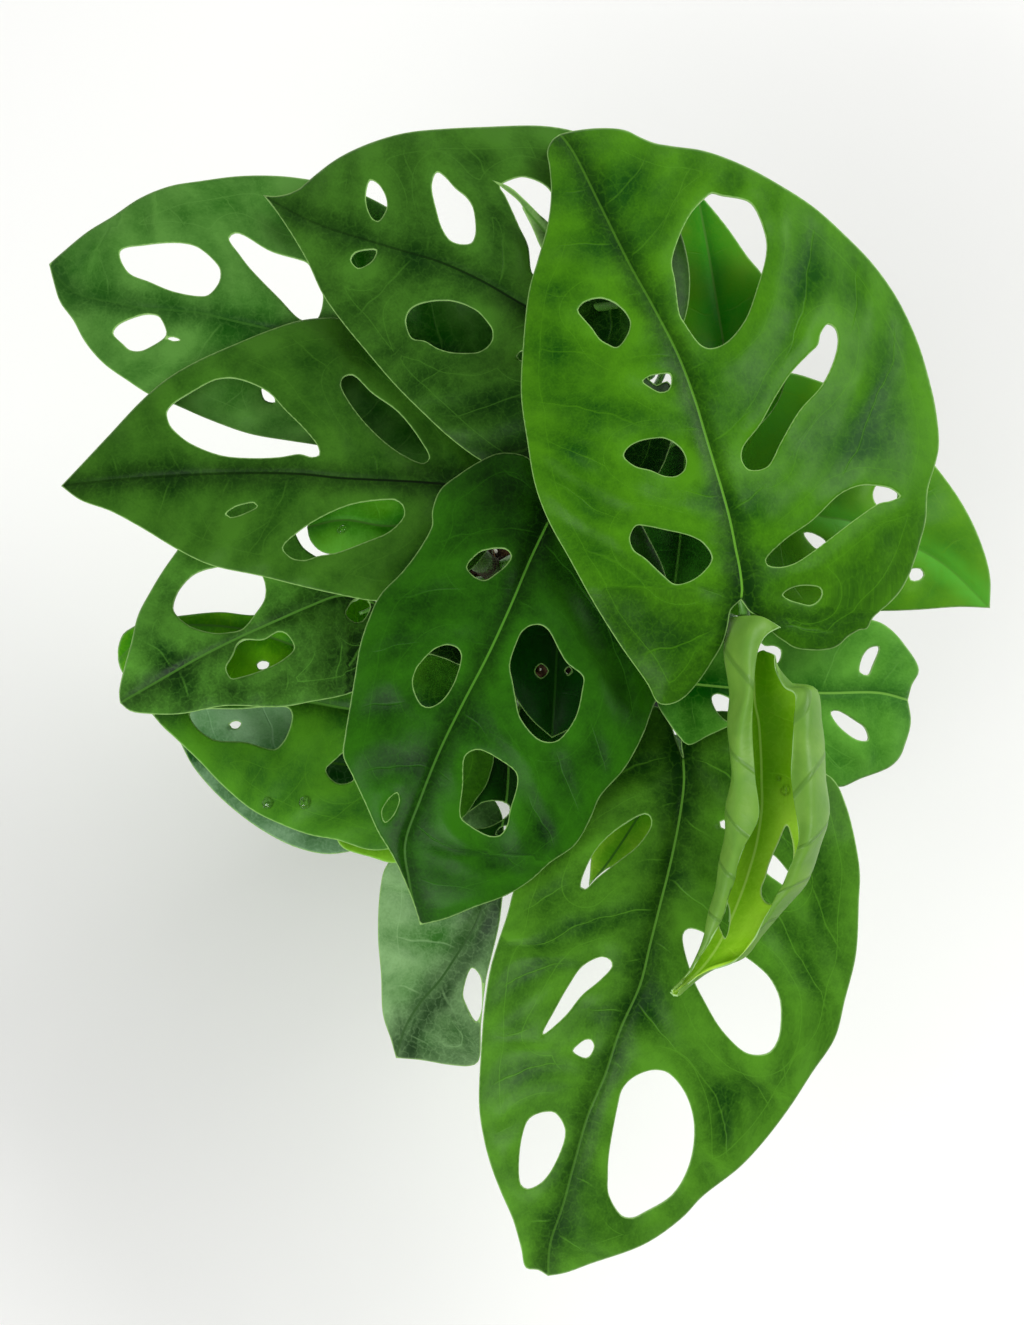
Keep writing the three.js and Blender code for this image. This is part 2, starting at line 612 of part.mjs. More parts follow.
// The blade before its outline is cut: a thin curved slab on a lattice of triangles,
// with the same triangles on both faces.
function bladeSlab(leaf, frame) {
  const cell = BLADE_CELL / SHEET_UNIT;
  const spare = BLADE_SPARE / SHEET_UNIT;
  const local = leaf.outline.map(frame.toLocal);
  const sMin = Math.min(...local.map((p) => p[0])) - spare;
  const sMax = Math.max(...local.map((p) => p[0])) + spare;
  const tMin = Math.min(...local.map((p) => p[1])) - spare;
  const tMax = Math.max(...local.map((p) => p[1])) + spare;
  const rows = Math.max(2, Math.round((sMax - sMin) / cell));
  const cols = Math.max(2, Math.round((tMax - tMin) / cell));
  const upper = [];
  const lower = [];
  for (let i = 0; i <= rows; i += 1) {
    for (let j = 0; j <= cols; j += 1) {
      const s = sMin + ((sMax - sMin) * i) / rows;
      const t = tMin + ((tMax - tMin) * j) / cols;
      const [u, v] = frame.toSheet(s, t);
      const half = (BLADE_THICKNESS / 2) * slopeFactor(frame.height, u, v);
      upper.push(placeOnSheet(u, v, frame.height(u, v) + half));
      lower.push(placeOnSheet(u, v, frame.height(u, v) - half));
    }
  }
  return closedSheet(upper, lower, rows, cols);
}

// Two alike lattices of (rows + 1) x (cols + 1) points and the walls between them.
function closedSheet(upper, lower, rows, cols) {
  const count = upper.length;
  const at = (i, j) => i * (cols + 1) + j;
  const triangles = [];
  for (let i = 0; i < rows; i += 1) {
    for (let j = 0; j < cols; j += 1) {
      const corners = [at(i, j), at(i + 1, j), at(i + 1, j + 1), at(i, j + 1)];
      const first = (i + j) % 2;
      for (const [a, b, c] of [[0, 1, 2], [0, 2, 3]]) {
        const face = [corners[(a + first) % 4], corners[(b + first) % 4], corners[(c + first) % 4]];
        triangles.push(...face, face[2] + count, face[1] + count, face[0] + count);
      }
    }
  }
  const rim = [];
  for (let j = 0; j < cols; j += 1) rim.push(at(0, j));
  for (let i = 0; i < rows; i += 1) rim.push(at(i, cols));
  for (let j = cols; j > 0; j -= 1) rim.push(at(rows, j));
  for (let i = rows; i > 0; i -= 1) rim.push(at(i, 0));
  rim.forEach((from, k) => {
    const to = rim[(k + 1) % rim.length];
    triangles.push(from, to, to + count, from, to + count, from + count);
  });
  const solid = solidFromArrays([...upper, ...lower], triangles);
  if (solid.volume() > 0) return solid;
  return solidFromArrays([...upper, ...lower], triangles.toReversed());
}

// A sheet outline, with holes, as a solid along the lines of sight between two heights.
function sightPrism(outline, holes, low, high) {
  const loop = (points, wantClockwise) => {
    const flat = points.map(([u, v]) => new THREE.Vector2(u, -v));
    return THREE.ShapeUtils.isClockWise(flat) === wantClockwise ? flat : flat.reverse();
  };
  const loops = [loop(outline, false), ...holes.map((hole) => loop(hole, true))];
  const flat = loops.flat();
  const count = flat.length;
  const points = [low, high].flatMap((z) => flat.map((p) => placeOnSheet(p.x, -p.y, z)));
  const triangles = [];
  for (const [a, b, c] of THREE.ShapeUtils.triangulateShape(loops[0], loops.slice(1))) {
    triangles.push(a + count, b + count, c + count, c, b, a);
  }
  let start = 0;
  for (const ring of loops) {
    for (let k = 0; k < ring.length; k += 1) {
      const from = start + k;
      const to = start + ((k + 1) % ring.length);
      triangles.push(from, to, to + count, from, to + count, from + count);
    }
    start += ring.length;
  }
  return solidFromArrays(points, triangles);
}

// The petiole runs from inside the blade's base down to just off a stem's node ring.
function makePetiole({ stem, node, radius, via }, inside, joint) {
  const path = stemPath(STEMS[stem]);
  const centre = path.getPointAt(node);
  const tangent = path.getTangentAt(node);
  const away = joint.clone().sub(inside).normalize();
  const neck = joint.clone().addScaledVector(away, 4).add(new THREE.Vector3(0, 0, -4));
  const bends = via.map((p) => new THREE.Vector3(...p));
  const toward = bends[bends.length - 1].clone().sub(centre);
  const out = toward.addScaledVector(tangent, -toward.dot(tangent)).normalize();
  const foot = centre.clone().addScaledVector(out, NODE_RING_RADIUS + FIT);
  const heel = foot.clone().addScaledVector(out, 3);
  const points = [inside, joint, neck, ...bends, heel, foot];
  const curve = new THREE.CatmullRomCurve3(points, false, 'centripetal');
  const steps = Math.max(6, Math.round(curve.getLength() / 9));
  return rod(curve, radius, PETIOLE_SIDES, steps);
}

function makeLeaf(leaf) {
  const frame = leafFrame(leaf);
  const heights = leaf.outline.map(([u, v]) => frame.height(u, v));
  const low = Math.min(...heights) - CUT_REACH;
  const high = Math.max(...heights) + CUT_REACH;
  const prism = sightPrism(leaf.outline, leaf.holes, low, high);
  const blade = bladeSlab(leaf, frame).intersect(prism);
  const [iu, iv] = frame.toSheet(PETIOLE_INSET / SHEET_UNIT, 0);
  const inside = placeOnSheet(iu, iv, frame.height(iu, iv) - PETIOLE_DROP);
  const joint = placeOnSheet(...leaf.base, frame.height(...leaf.base) - PETIOLE_DROP);
  const solid = blade.add(makePetiole(leaf.petiole, inside, joint));
  return meshFrom(leaf.name, solid, leaf.colour, 0.45);
}

// ---- The young leaf ----
// It is still half rolled. Each row across it gives sheet points and heights: the
// left free margin, the left side, the trough, the midrib, the trough, the right
// side and the right free margin.
const YOUNG_ROWS = [
  [[766, 631, 236], [731, 623, 229], [742, 640, 223], [753, 654, 221], [764, 654, 222], [772, 655, 226],
    [776, 654, 229]],
  [[752, 687, 235], [729, 690, 228], [742, 694, 220], [756, 698, 218], [790, 694, 219], [812, 690, 227],
    [799, 690, 234]],
  [[747, 745, 234], [730, 740, 227], [744, 743, 218], [760, 744, 216], [792, 742, 217], [820, 738, 226],
    [794, 735, 234]],
  [[756, 812, 234], [727, 800, 227], [744, 802, 217], [763, 804, 215], [797, 802, 217], [828, 800, 226],
    [793, 795, 235]],
  [[740, 860, 232], [722, 860, 226], [735, 858, 217], [752, 858, 214], [786, 860, 217], [815, 860, 226],
    [795, 850, 232]],
  [[731, 905, 229], [713, 905, 224], [723, 905, 216], [737, 905, 214], [766, 908, 216], [790, 905, 224],
    [779, 897, 229]],
  [[713, 942, 224], [703, 942, 220], [709, 944, 215], [717, 945, 213], [738, 946, 215], [757, 945, 219],
    [751, 938, 223]],
  [[693, 970, 217], [688, 972, 215], [691, 974, 212], [696, 976, 211], [706, 976, 212], [714, 972, 215],
    [709, 968, 217]],
  [[676, 988, 212], [673, 991, 211.5], [674, 993, 210.5], [676, 994, 210], [679, 993, 210.5],
    [681, 991, 211.5], [681, 988, 212]],
];
const YOUNG_HOLE = [[795, 840], [772, 855], [762, 885], [768, 902], [776, 902], [787, 872]];
const YOUNG_HOLE_HEIGHTS = [205, 226];
const YOUNG_COLOUR = 0x6fae1c;
const YOUNG_PETIOLE = { stem: 'stem_right', node: 0.97, radius: 1.5, via: [[50, -57, 196]] };

function makeYoungLeaf() {
  const rows = YOUNG_ROWS.length - 1;
  const cols = YOUNG_ROWS[0].length - 1;
  const middle = YOUNG_ROWS.map((row) => row.map((p) => placeOnSheet(...p)));
  const upper = [];
  const lower = [];
  for (let i = 0; i <= rows; i += 1) {
    for (let j = 0; j <= cols; j += 1) {
      const along = middle[Math.min(i + 1, rows)][j].clone().sub(middle[Math.max(i - 1, 0)][j]);
      const across = middle[i][Math.min(j + 1, cols)].clone().sub(middle[i][Math.max(j - 1, 0)]);
      const normal = along.cross(across).normalize().multiplyScalar(BLADE_THICKNESS / 2);
      upper.push(middle[i][j].clone().add(normal));
      lower.push(middle[i][j].clone().sub(normal));
    }
  }
  const rolled = closedSheet(upper, lower, rows, cols);
  const blade = rolled.subtract(sightPrism(YOUNG_HOLE, [], ...YOUNG_HOLE_HEIGHTS));
  const inside = placeOnSheet(757, 676, 218.5);
  const joint = placeOnSheet(753, 652, 219.5);
  return meshFrom('leaf_h', blade.add(makePetiole(YOUNG_PETIOLE, inside, joint)), YOUNG_COLOUR, 0.4);
}

// ---- The plant ----
const plant = new THREE.Group();
const carried = [...LEAVES.map((leaf) => leaf.petiole), YOUNG_PETIOLE];
plant.add(makePot(), makeSoil(STEMS));
for (const [name, stem] of Object.entries(STEMS)) {
  const nodes = carried.filter((petiole) => petiole.stem === name).map((petiole) => petiole.node);
  plant.add(makeStem(name, { ...stem, nodes }));
}
for (const leaf of LEAVES) plant.add(makeLeaf(leaf));
plant.add(makeYoungLeaf());

export default plant;
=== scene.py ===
# %% [markdown]
# # A potted monstera adansonii
# This plant is a small climbing aroid. Thin vine stems stand in potting mix, and each
# of their nodes carries one leaf: a stalk and a pointed blade with natural holes. We
# load the solids of the plant as a fixed frame and then dress every one of them: fine
# blades with veins, stalks, stems, potting mix and a plain pot. All sizes are metres.

import math

import bpy
import numpy as np
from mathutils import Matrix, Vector, kdtree, noise
from mathutils.geometry import delaunay_2d_cdt


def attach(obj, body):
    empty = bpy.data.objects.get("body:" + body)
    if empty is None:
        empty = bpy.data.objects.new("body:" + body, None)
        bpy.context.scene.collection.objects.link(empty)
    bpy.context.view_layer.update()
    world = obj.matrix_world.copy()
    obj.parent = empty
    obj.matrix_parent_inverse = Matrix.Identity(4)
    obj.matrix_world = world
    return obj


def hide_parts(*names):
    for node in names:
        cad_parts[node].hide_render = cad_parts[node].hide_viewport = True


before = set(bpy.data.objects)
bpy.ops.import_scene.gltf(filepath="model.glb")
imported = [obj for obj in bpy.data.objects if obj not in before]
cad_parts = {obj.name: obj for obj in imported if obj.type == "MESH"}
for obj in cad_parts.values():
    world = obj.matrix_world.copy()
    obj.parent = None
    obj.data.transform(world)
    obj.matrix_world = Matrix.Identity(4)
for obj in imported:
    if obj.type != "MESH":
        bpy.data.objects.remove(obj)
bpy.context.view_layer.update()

# %% [markdown]
# ## The drawing sheet
# The leaves overlap so much that their outlines are easiest to draw on one sheet, as
# they look from a fixed eye point in front of and high above the plant. A point of the
# sheet and a height above the table then give one place in space. A leaf drawn this
# way can be lifted, bent and waved without losing its outline as seen from the eye.

# %% The sheet and the eye point
MM = 0.001
SHEET_CENTRE = (512.0, 662.5)
SHEET_SIZE = (1024, 1325)
SHEET_UNIT = 0.32  # mm on the sheet, which stands EYE_DISTANCE away
EYE_ELEVATION = math.radians(72)
EYE_DISTANCE = 750.0  # mm
AIM = np.array([-27.0, -61.0, 190.0])
SHEET_RIGHT = np.array([1.0, 0.0, 0.0])
SHEET_UP = np.array([0.0, math.sin(EYE_ELEVATION), math.cos(EYE_ELEVATION)])
FORWARD = np.array([0.0, math.cos(EYE_ELEVATION), -math.sin(EYE_ELEVATION)])
EYE = AIM - FORWARD * EYE_DISTANCE


def on_sheet(u, v, height):
    """Places in mm of sheet points at heights in mm; numbers or arrays alike."""
    u, v, height = np.broadcast_arrays(*(np.asarray(x, float) for x in (u, v, height)))
    ray = FORWARD * EYE_DISTANCE
    ray = ray + SHEET_RIGHT * ((u - SHEET_CENTRE[0]) * SHEET_UNIT)[..., None]
    ray = ray + SHEET_UP * ((SHEET_CENTRE[1] - v) * SHEET_UNIT)[..., None]
    reach = (height - EYE[2]) / ray[..., 2]
    return EYE + ray * reach[..., None]


print("eye point (mm):", EYE.round(1))

# %% [markdown]
# ## Camera, floor and light
# The camera stands at the eye point and looks down at 72 degrees, so that the sheet
# fills the picture exactly. A pale table and very large, soft lights give the even
# light of a bright room with white walls: gloss shows as broad, soft patches.

# %% Camera
SENSOR_HEIGHT = 36.0  # mm
camera_data = bpy.data.cameras.new("camera")
camera_data.sensor_fit = "VERTICAL"
camera_data.sensor_height = SENSOR_HEIGHT
camera_data.sensor_width = SENSOR_HEIGHT * SHEET_SIZE[0] / SHEET_SIZE[1]
camera_data.lens = SENSOR_HEIGHT * EYE_DISTANCE / (SHEET_SIZE[1] * SHEET_UNIT)
camera = bpy.data.objects.new("camera", camera_data)
camera.location = Vector(EYE * MM)
camera.rotation_euler = (math.radians(90) - EYE_ELEVATION, 0, 0)
bpy.context.scene.collection.objects.link(camera)
bpy.context.scene.camera = camera
print("lens (mm):", round(camera_data.lens, 1))


# %% Colour and node helpers
def srgb(code):
    """A hex colour as Blender's linear RGBA."""
    parts = [int(code[i : i + 2], 16) / 255 for i in (1, 3, 5)]
    linear = [c / 12.92 if c <= 0.04045 else ((c + 0.055) / 1.055) ** 2.4 for c in parts]
    return (*linear, 1.0)


def output_of(source):
    """The socket a link starts from: a node stands for its first enabled output."""
    if isinstance(source, bpy.types.Node):
        return next(output for output in source.outputs if output.enabled)
    return source


def add(tree, kind, inputs=(), **settings):
    """Adds a node; a kind such as Math is short for ShaderNodeMath. settings are its
    properties, or sockets by name. inputs gives sockets, in order or by number or name,
    their source: a socket, a node or a plain value."""
    node = tree.nodes.new(kind if "Node" in kind else "ShaderNode" + kind)
    for name, value in settings.items():
        if hasattr(node, name):
            setattr(node, name, value)
        else:
            node.inputs[name.replace("_", " ")].default_value = value
    for socket, source in inputs.items() if isinstance(inputs, dict) else enumerate(inputs):
        source = output_of(source)
        if isinstance(source, bpy.types.NodeSocket):
            tree.links.new(source, node.inputs[socket])
        else:
            node.inputs[socket].default_value = source
    return node


# Often used nodes, as add takes them: a * b + c, a soft step, and a mix of two colours.
TIMES_PLUS = dict(kind="Math", operation="MULTIPLY_ADD")
SOFT_STEP = dict(kind="MapRange", interpolation_type="SMOOTHSTEP")
MIX_TONES = dict(kind="Mix", data_type="RGBA")


def new_material(name, colour, roughness, **sockets):
    """A material whose constant values sit on the shader's own sockets."""
    material = bpy.data.materials.new(name)
    material.use_nodes = True
    shader = material.node_tree.nodes["Principled BSDF"]
    shader.inputs["Base Color"].default_value = srgb(colour)
    shader.inputs["Roughness"].default_value = roughness
    for socket, value in sockets.items():
        shader.inputs[socket.replace("_", " ")].default_value = value
    material.diffuse_color = srgb(colour)
    return material, material.node_tree, shader


def cover(shader, **patterns):
    """Links patterns to the shader's sockets of those names."""
    tree = shader.id_data
    for socket, pattern in patterns.items():
        tree.links.new(output_of(pattern), shader.inputs[socket.replace("_", " ")])


def mesh_object(name, places, faces):
    """A new object in the scene from places in metres and faces."""
    mesh = bpy.data.meshes.new(name)
    mesh.from_pydata(places, [], faces)
    made = bpy.data.objects.new(name, mesh)
    bpy.context.scene.collection.objects.link(made)
    return made


def carried_out(made):
    """The plain mesh of an object after its modifiers."""
    bpy.context.view_layer.update()
    graph = bpy.context.evaluated_depsgraph_get()
    return bpy.data.meshes.new_from_object(made.evaluated_get(graph))


print("white in linear light:", srgb("#ffffff"))

# %% Floor, lamps and surroundings
FLOOR_HALF = 3.0
ROOM_BRIGHTNESS = 0.38
floor_corners = [(-1, -1), (1, -1), (1, 1), (-1, 1)]
floor_places = [(x * FLOOR_HALF, y * FLOOR_HALF, 0) for x, y in floor_corners]
floor = mesh_object("floor", floor_places, [(0, 1, 2, 3)])
floor_paint, _, _ = new_material("white_table_paint", "#f4f4f2", 0.9)
floor.data.materials.append(floor_paint)


def add_softbox(name, place, aim, size, watts):
    """A square area lamp that points at aim; all in metres."""
    lamp = bpy.data.lights.new(name, "AREA")
    lamp.shape = "SQUARE"
    lamp.size = size
    lamp.energy = watts
    holder = bpy.data.objects.new(name, lamp)
    holder.location = place
    holder.rotation_euler = (Vector(aim) - Vector(place)).to_track_quat("-Z", "Y").to_euler()
    bpy.context.scene.collection.objects.link(holder)


add_softbox("window_light", (1.3, 0.9, 1.35), (0, 0, 0.2), 1.3, 35)
add_softbox("wall_light", (-1.1, -1.4, 1.2), (0, 0, 0.2), 1.2, 30)
world = bpy.data.worlds.new("white_room")
world.use_nodes = True
walls = world.node_tree.nodes["Background"]
walls.inputs["Color"].default_value = srgb("#ffffff")
walls.inputs["Strength"].default_value = ROOM_BRIGHTNESS
bpy.context.scene.world = world
bpy.context.scene.view_settings.view_transform = "Standard"

# %% [markdown]
# ## Leaf drawings
# Every leaf is drawn in sheet units: the outline starts at the tip, the midrib
# runs from the stalk to the tip, and each hole is a loop. The lift holds the heights of
# both ends in mm, the arch between them, the tilt and droop across, and the margin's
# waves. The tones are the dark, middle and light green of the blade's upper side.

# %% Leaves of the crown: large, in front and on top
LEAVES = {}


def lift(base, tip, arch, cup, wave, waves, tilt=0):
    """Heights of both ends and of the arch between them, and how the blade is bent across."""
    return dict(base=base, tip=tip, arch=arch, cup=cup, wave=wave, waves=waves, tilt=tilt)


def stalk_on(stem, node, radius, *via):
    """A stalk from its node, a share of the stem's length, by way of places in mm."""
    return dict(stem=stem, node=node, radius=radius, via=via)


LEAVES["leaf_a"] = dict(
    lift=lift(238, 221, arch=19, cup=4, wave=1.8, waves=3, tilt=-0.09),
    tones=("#0b2e04", "#154905", "#49850f"),
    rib="#5f9a2c",
    stalk=stalk_on("stem_right", 0.9, 1.8, (40, -54, 205)),
    midrib=[
        (741, 600), (742, 590), (740, 570), (736, 550), (730, 520), (722, 490), (713, 460),
        (704, 430), (695, 400), (678, 355), (655, 310), (630, 265), (600, 205), (572, 150),
        (560, 134)
    ],
    outline=[
        (560, 134), (552, 140), (547, 152), (549, 165), (551, 190), (548, 222), (537, 262),
        (529, 290), (523, 345), (521, 395), (527, 440), (535, 485), (548, 520), (570, 560),
        (592, 600), (620, 645), (648, 685), (657, 702), (665, 705), (675, 703), (685, 697),
        (700, 680), (712, 662), (722, 645), (728, 625), (731, 610), (741, 600), (750, 612),
        (760, 618), (775, 635), (785, 642), (795, 648), (825, 650), (838, 646), (848, 637),
        (860, 630), (867, 629), (873, 618), (890, 603), (900, 592), (908, 578), (915, 560),
        (921, 540), (926, 520), (928, 490), (936, 462), (939, 445), (936, 410), (928, 375),
        (917, 340), (897, 298), (873, 264), (845, 235), (815, 208), (785, 188), (745, 166),
        (705, 151), (672, 146), (655, 143), (640, 137), (625, 130), (600, 128), (572, 131)
    ],
    holes=[
        [(578, 310), (583, 303), (592, 299), (602, 298), (615, 303), (625, 312), (630, 322),
         (628, 333), (617, 347), (608, 344), (600, 339), (592, 328), (585, 320)],
        [(643, 381), (650, 376), (660, 374), (670, 374), (671, 383), (668, 390), (660, 392),
         (650, 387)],
        [(624, 456), (628, 448), (638, 442), (650, 439), (663, 438), (673, 442), (681, 449),
         (686, 460), (684, 470), (676, 476), (665, 476), (650, 470), (635, 466)],
        [(630, 538), (636, 526), (645, 526), (665, 530), (690, 536), (703, 543), (712, 558),
         (703, 572), (690, 581), (675, 584), (662, 574), (645, 558), (634, 550)],
        [(704, 199), (712, 193), (720, 195), (748, 201), (756, 210), (766, 238), (766, 255),
         (757, 288), (745, 320), (728, 341), (717, 347), (708, 348), (700, 344), (684, 322),
         (680, 315), (675, 280), (672, 262), (678, 240), (685, 224), (692, 212)],
        [(828, 324), (835, 328), (838, 340), (834, 360), (822, 385), (800, 410), (782, 440),
         (768, 466), (758, 470), (748, 469), (742, 460), (743, 448), (760, 425), (775, 398),
         (792, 372), (810, 353), (818, 345), (821, 333)],
        [(900, 496), (892, 489), (880, 486), (865, 485), (850, 489), (838, 496), (812, 521),
         (785, 540), (766, 560), (768, 565), (780, 567), (795, 563), (815, 550), (832, 537),
         (857, 518), (880, 503), (890, 501)],
        [(783, 595), (790, 589), (800, 586), (812, 586), (820, 588), (822, 594), (818, 601),
         (810, 605), (800, 603), (790, 600)],
    ],
)
LEAVES["leaf_b"] = dict(
    lift=lift(219, 196, arch=12, cup=3.5, wave=1.4, waves=3),
    tones=("#082c03", "#082f03", "#437621"),
    rib="#0d2406",
    shaded=-0.2,
    stalk=stalk_on("stem_back", 0.9, 1.6, (12, 35, 196)),
    midrib=[
        (640, 362), (600, 345), (560, 325), (520, 303), (480, 280), (440, 262), (400, 250),
        (360, 238), (320, 225), (290, 211), (263, 195)
    ],
    outline=[
        (263, 195), (275, 196), (290, 193), (300, 188), (308, 181), (335, 160), (360, 147),
        (388, 137), (410, 132), (440, 129), (480, 127), (545, 126), (580, 133), (618, 152),
        (655, 185), (680, 230), (690, 278), (684, 322), (668, 346), (640, 362), (648, 378),
        (657, 385), (667, 381), (676, 400), (672, 440), (655, 478), (620, 497), (575, 493),
        (520, 479), (480, 460), (450, 438), (425, 415), (395, 385), (365, 350), (342, 322),
        (323, 295), (308, 263), (290, 232), (270, 203)
    ],
    holes=[
        [(370, 180), (378, 184), (385, 195), (387, 205), (384, 214), (378, 221), (373, 219),
         (368, 210), (366, 200), (367, 188)],
        [(351, 260), (355, 253), (365, 250), (376, 250), (374, 258), (368, 264), (358, 268)],
        [(437, 172), (445, 177), (455, 188), (465, 196), (472, 206), (475, 220), (475, 235),
         (471, 243), (460, 244), (450, 240), (442, 228), (437, 212), (432, 185)],
        [(406, 320), (410, 310), (420, 304), (435, 301), (450, 301), (465, 305), (478, 312),
         (487, 322), (492, 330), (492, 340), (487, 347), (478, 352), (465, 353), (450, 352),
         (437, 348), (425, 341), (412, 338)],
        [(500, 186), (515, 178), (525, 177), (548, 188), (558, 215), (552, 250), (540, 274),
         (533, 274), (528, 245), (520, 228), (512, 210), (505, 195)],
        [(517, 356), (522, 351), (528, 356), (522, 361)],
    ],
)
LEAVES["leaf_f"] = dict(
    lift=lift(226, 186, arch=14, cup=3.5, wave=1.5, waves=3),
    tones=("#082203", "#082c03", "#2c680b"),
    rib="#4f8a28",
    stalk=stalk_on("stem_left", 0.8, 1.7, (-14, -12, 190)),
    midrib=[
        (549, 520), (530, 560), (511, 605), (488, 655), (462, 705), (440, 750), (420, 800),
        (405, 845), (409, 880), (414, 905), (420, 925)
    ],
    outline=[
        (420, 925), (415, 908), (404, 880), (392, 855), (378, 832), (365, 803), (352, 775),
        (343, 755), (345, 735), (350, 705), (355, 675), (360, 645), (369, 618), (380, 595),
        (402, 572), (420, 548), (432, 525), (432, 512), (440, 490), (458, 475), (480, 461),
        (500, 453), (527, 457), (540, 474), (547, 495), (549, 520), (556, 497), (575, 488),
        (612, 492), (634, 512), (650, 540), (664, 570), (672, 610), (674, 645), (668, 680),
        (655, 703), (643, 735), (625, 768), (600, 797), (590, 820), (575, 845), (550, 863),
        (530, 881), (505, 896), (475, 907), (445, 919)
    ],
    holes=[
        [(467, 567), (475, 556), (482, 551), (505, 549), (511, 556), (505, 566), (495, 574),
         (485, 580), (475, 577)],
        [(414, 690), (413, 680), (417, 668), (425, 658), (435, 649), (447, 645), (457, 648),
         (461, 655), (455, 680), (448, 693), (440, 702), (430, 707), (422, 705)],
        [(510, 665), (517, 642), (522, 632), (530, 626), (540, 625), (548, 630), (560, 652),
         (567, 663), (583, 677), (582, 690), (575, 718), (558, 740), (548, 742), (537, 738),
         (520, 717), (516, 700), (513, 683)],
        [(465, 757), (472, 751), (480, 750), (500, 760), (516, 773), (517, 785), (510, 810),
         (507, 825), (500, 835), (490, 836), (468, 824), (461, 817), (463, 785)],
        [(382, 812), (390, 798), (397, 793), (399, 800), (393, 815), (385, 822)],
    ],
)
LEAVES["leaf_g"] = dict(
    lift=lift(198, 128, arch=23, cup=4, wave=1.8, waves=3),
    tones=("#0a2e04", "#103c06", "#508a20"),
    rib="#5a9030",
    lines=0.55,
    stalk=stalk_on("stem_front", 0.95, 1.8, (17, -76, 172)),
    midrib=[
        (683, 757), (684, 780), (680, 815), (670, 865), (660, 905), (650, 945), (640, 985),
        (620, 1030), (605, 1075), (588, 1115), (575, 1160), (563, 1205), (550, 1245), (548, 1276)
    ],
    outline=[
        (548, 1276), (538, 1270), (526, 1268), (521, 1248), (513, 1220), (500, 1190), (490, 1163),
        (483, 1135), (479, 1105), (481, 1050), (484, 1010), (490, 970), (497, 945), (507, 915),
        (514, 889), (528, 855), (548, 815), (575, 775), (605, 738), (632, 715), (655, 706),
        (665, 712), (672, 727), (677, 742), (683, 757), (681, 742), (685, 728), (698, 717),
        (718, 711), (740, 714), (762, 728), (785, 748), (806, 764), (833, 779), (846, 805),
        (857, 850), (860, 875), (859, 900), (856, 955), (845, 1000), (835, 1038), (812, 1073),
        (790, 1107), (765, 1140), (740, 1167), (702, 1197), (682, 1218), (645, 1244), (590, 1264),
        (565, 1273)
    ],
    holes=[
        [(581, 887), (587, 866), (600, 845), (623, 825), (645, 814), (650, 817), (651, 825),
         (638, 845), (617, 862), (597, 878), (585, 889)],
        [(543, 1034), (555, 1010), (568, 987), (583, 966), (602, 957), (610, 960), (612, 966),
         (600, 980), (582, 995), (565, 1016)],
        [(573, 1051), (578, 1045), (585, 1040), (591, 1040), (594, 1046), (591, 1054), (586, 1058)],
        [(520, 1150), (527, 1122), (533, 1116), (545, 1112), (555, 1113), (565, 1130), (558, 1157),
         (542, 1182), (527, 1189), (521, 1185)],
        [(609, 1155), (618, 1105), (622, 1090), (630, 1080), (642, 1073), (655, 1070), (668, 1073),
         (685, 1093), (694, 1125), (689, 1165), (672, 1195), (645, 1212), (632, 1218), (622, 1216),
         (609, 1195), (608, 1175)],
        [(683, 935), (688, 929), (700, 931), (725, 948), (745, 957), (767, 975), (775, 987),
         (780, 1000), (781, 1020), (778, 1040), (770, 1052), (758, 1055), (745, 1052), (722, 1030),
         (705, 1002), (692, 975)],
        [(720, 822), (724, 820), (727, 824), (725, 829), (721, 827)],
        [(762, 852), (773, 855), (786, 869), (794, 882), (789, 890), (783, 885), (768, 874),
         (759, 863)],
    ],
)
print("leaves of the crown:", len(LEAVES))

# %% Leaves of the left side
LEAVES["leaf_d"] = dict(
    lift=lift(190, 168, arch=13, cup=2.5, wave=1.8, waves=3, tilt=0.03),
    tones=("#083b03", "#165405", "#568a39"),
    rib="#3a6a24",
    stalk=stalk_on("stem_back", 0.72, 1.5, (-14, 34, 168)),
    midrib=[
        (478, 372), (440, 362), (400, 354), (345, 345), (274, 330), (230, 320), (200, 313),
        (170, 310), (140, 308), (110, 301), (80, 295), (62, 282), (49, 264)
    ],
    outline=[
        (49, 264), (65, 250), (87, 232), (113, 216), (140, 198), (170, 186), (200, 181), (240, 176),
        (280, 176), (312, 180), (340, 186), (366, 196), (395, 212), (430, 240), (463, 286),
        (492, 316), (520, 336), (533, 356), (514, 374), (478, 372), (498, 410), (488, 444),
        (454, 470), (415, 474), (372, 462), (345, 451), (316, 445), (290, 441), (250, 434),
        (210, 420), (173, 404), (150, 395), (128, 381), (103, 363), (85, 342), (73, 320), (60, 302),
        (53, 280)
    ],
    holes=[
        [(120, 251), (145, 245), (180, 243), (197, 247), (215, 262), (220, 270), (219, 282),
         (208, 295), (198, 296), (172, 291), (150, 282), (128, 272)],
        [(113, 333), (118, 325), (138, 316), (148, 314), (158, 316), (164, 325), (166, 335),
         (150, 347), (140, 351), (130, 350), (123, 344)],
        [(229, 238), (235, 233), (243, 235), (270, 251), (300, 260), (307, 263), (318, 282),
         (323, 298), (316, 320), (302, 320), (278, 297), (250, 268), (240, 255)],
        [(262, 388), (270, 391), (275, 402), (265, 400)],
        [(167, 338), (173, 337), (180, 340), (173, 341)],
    ],
)
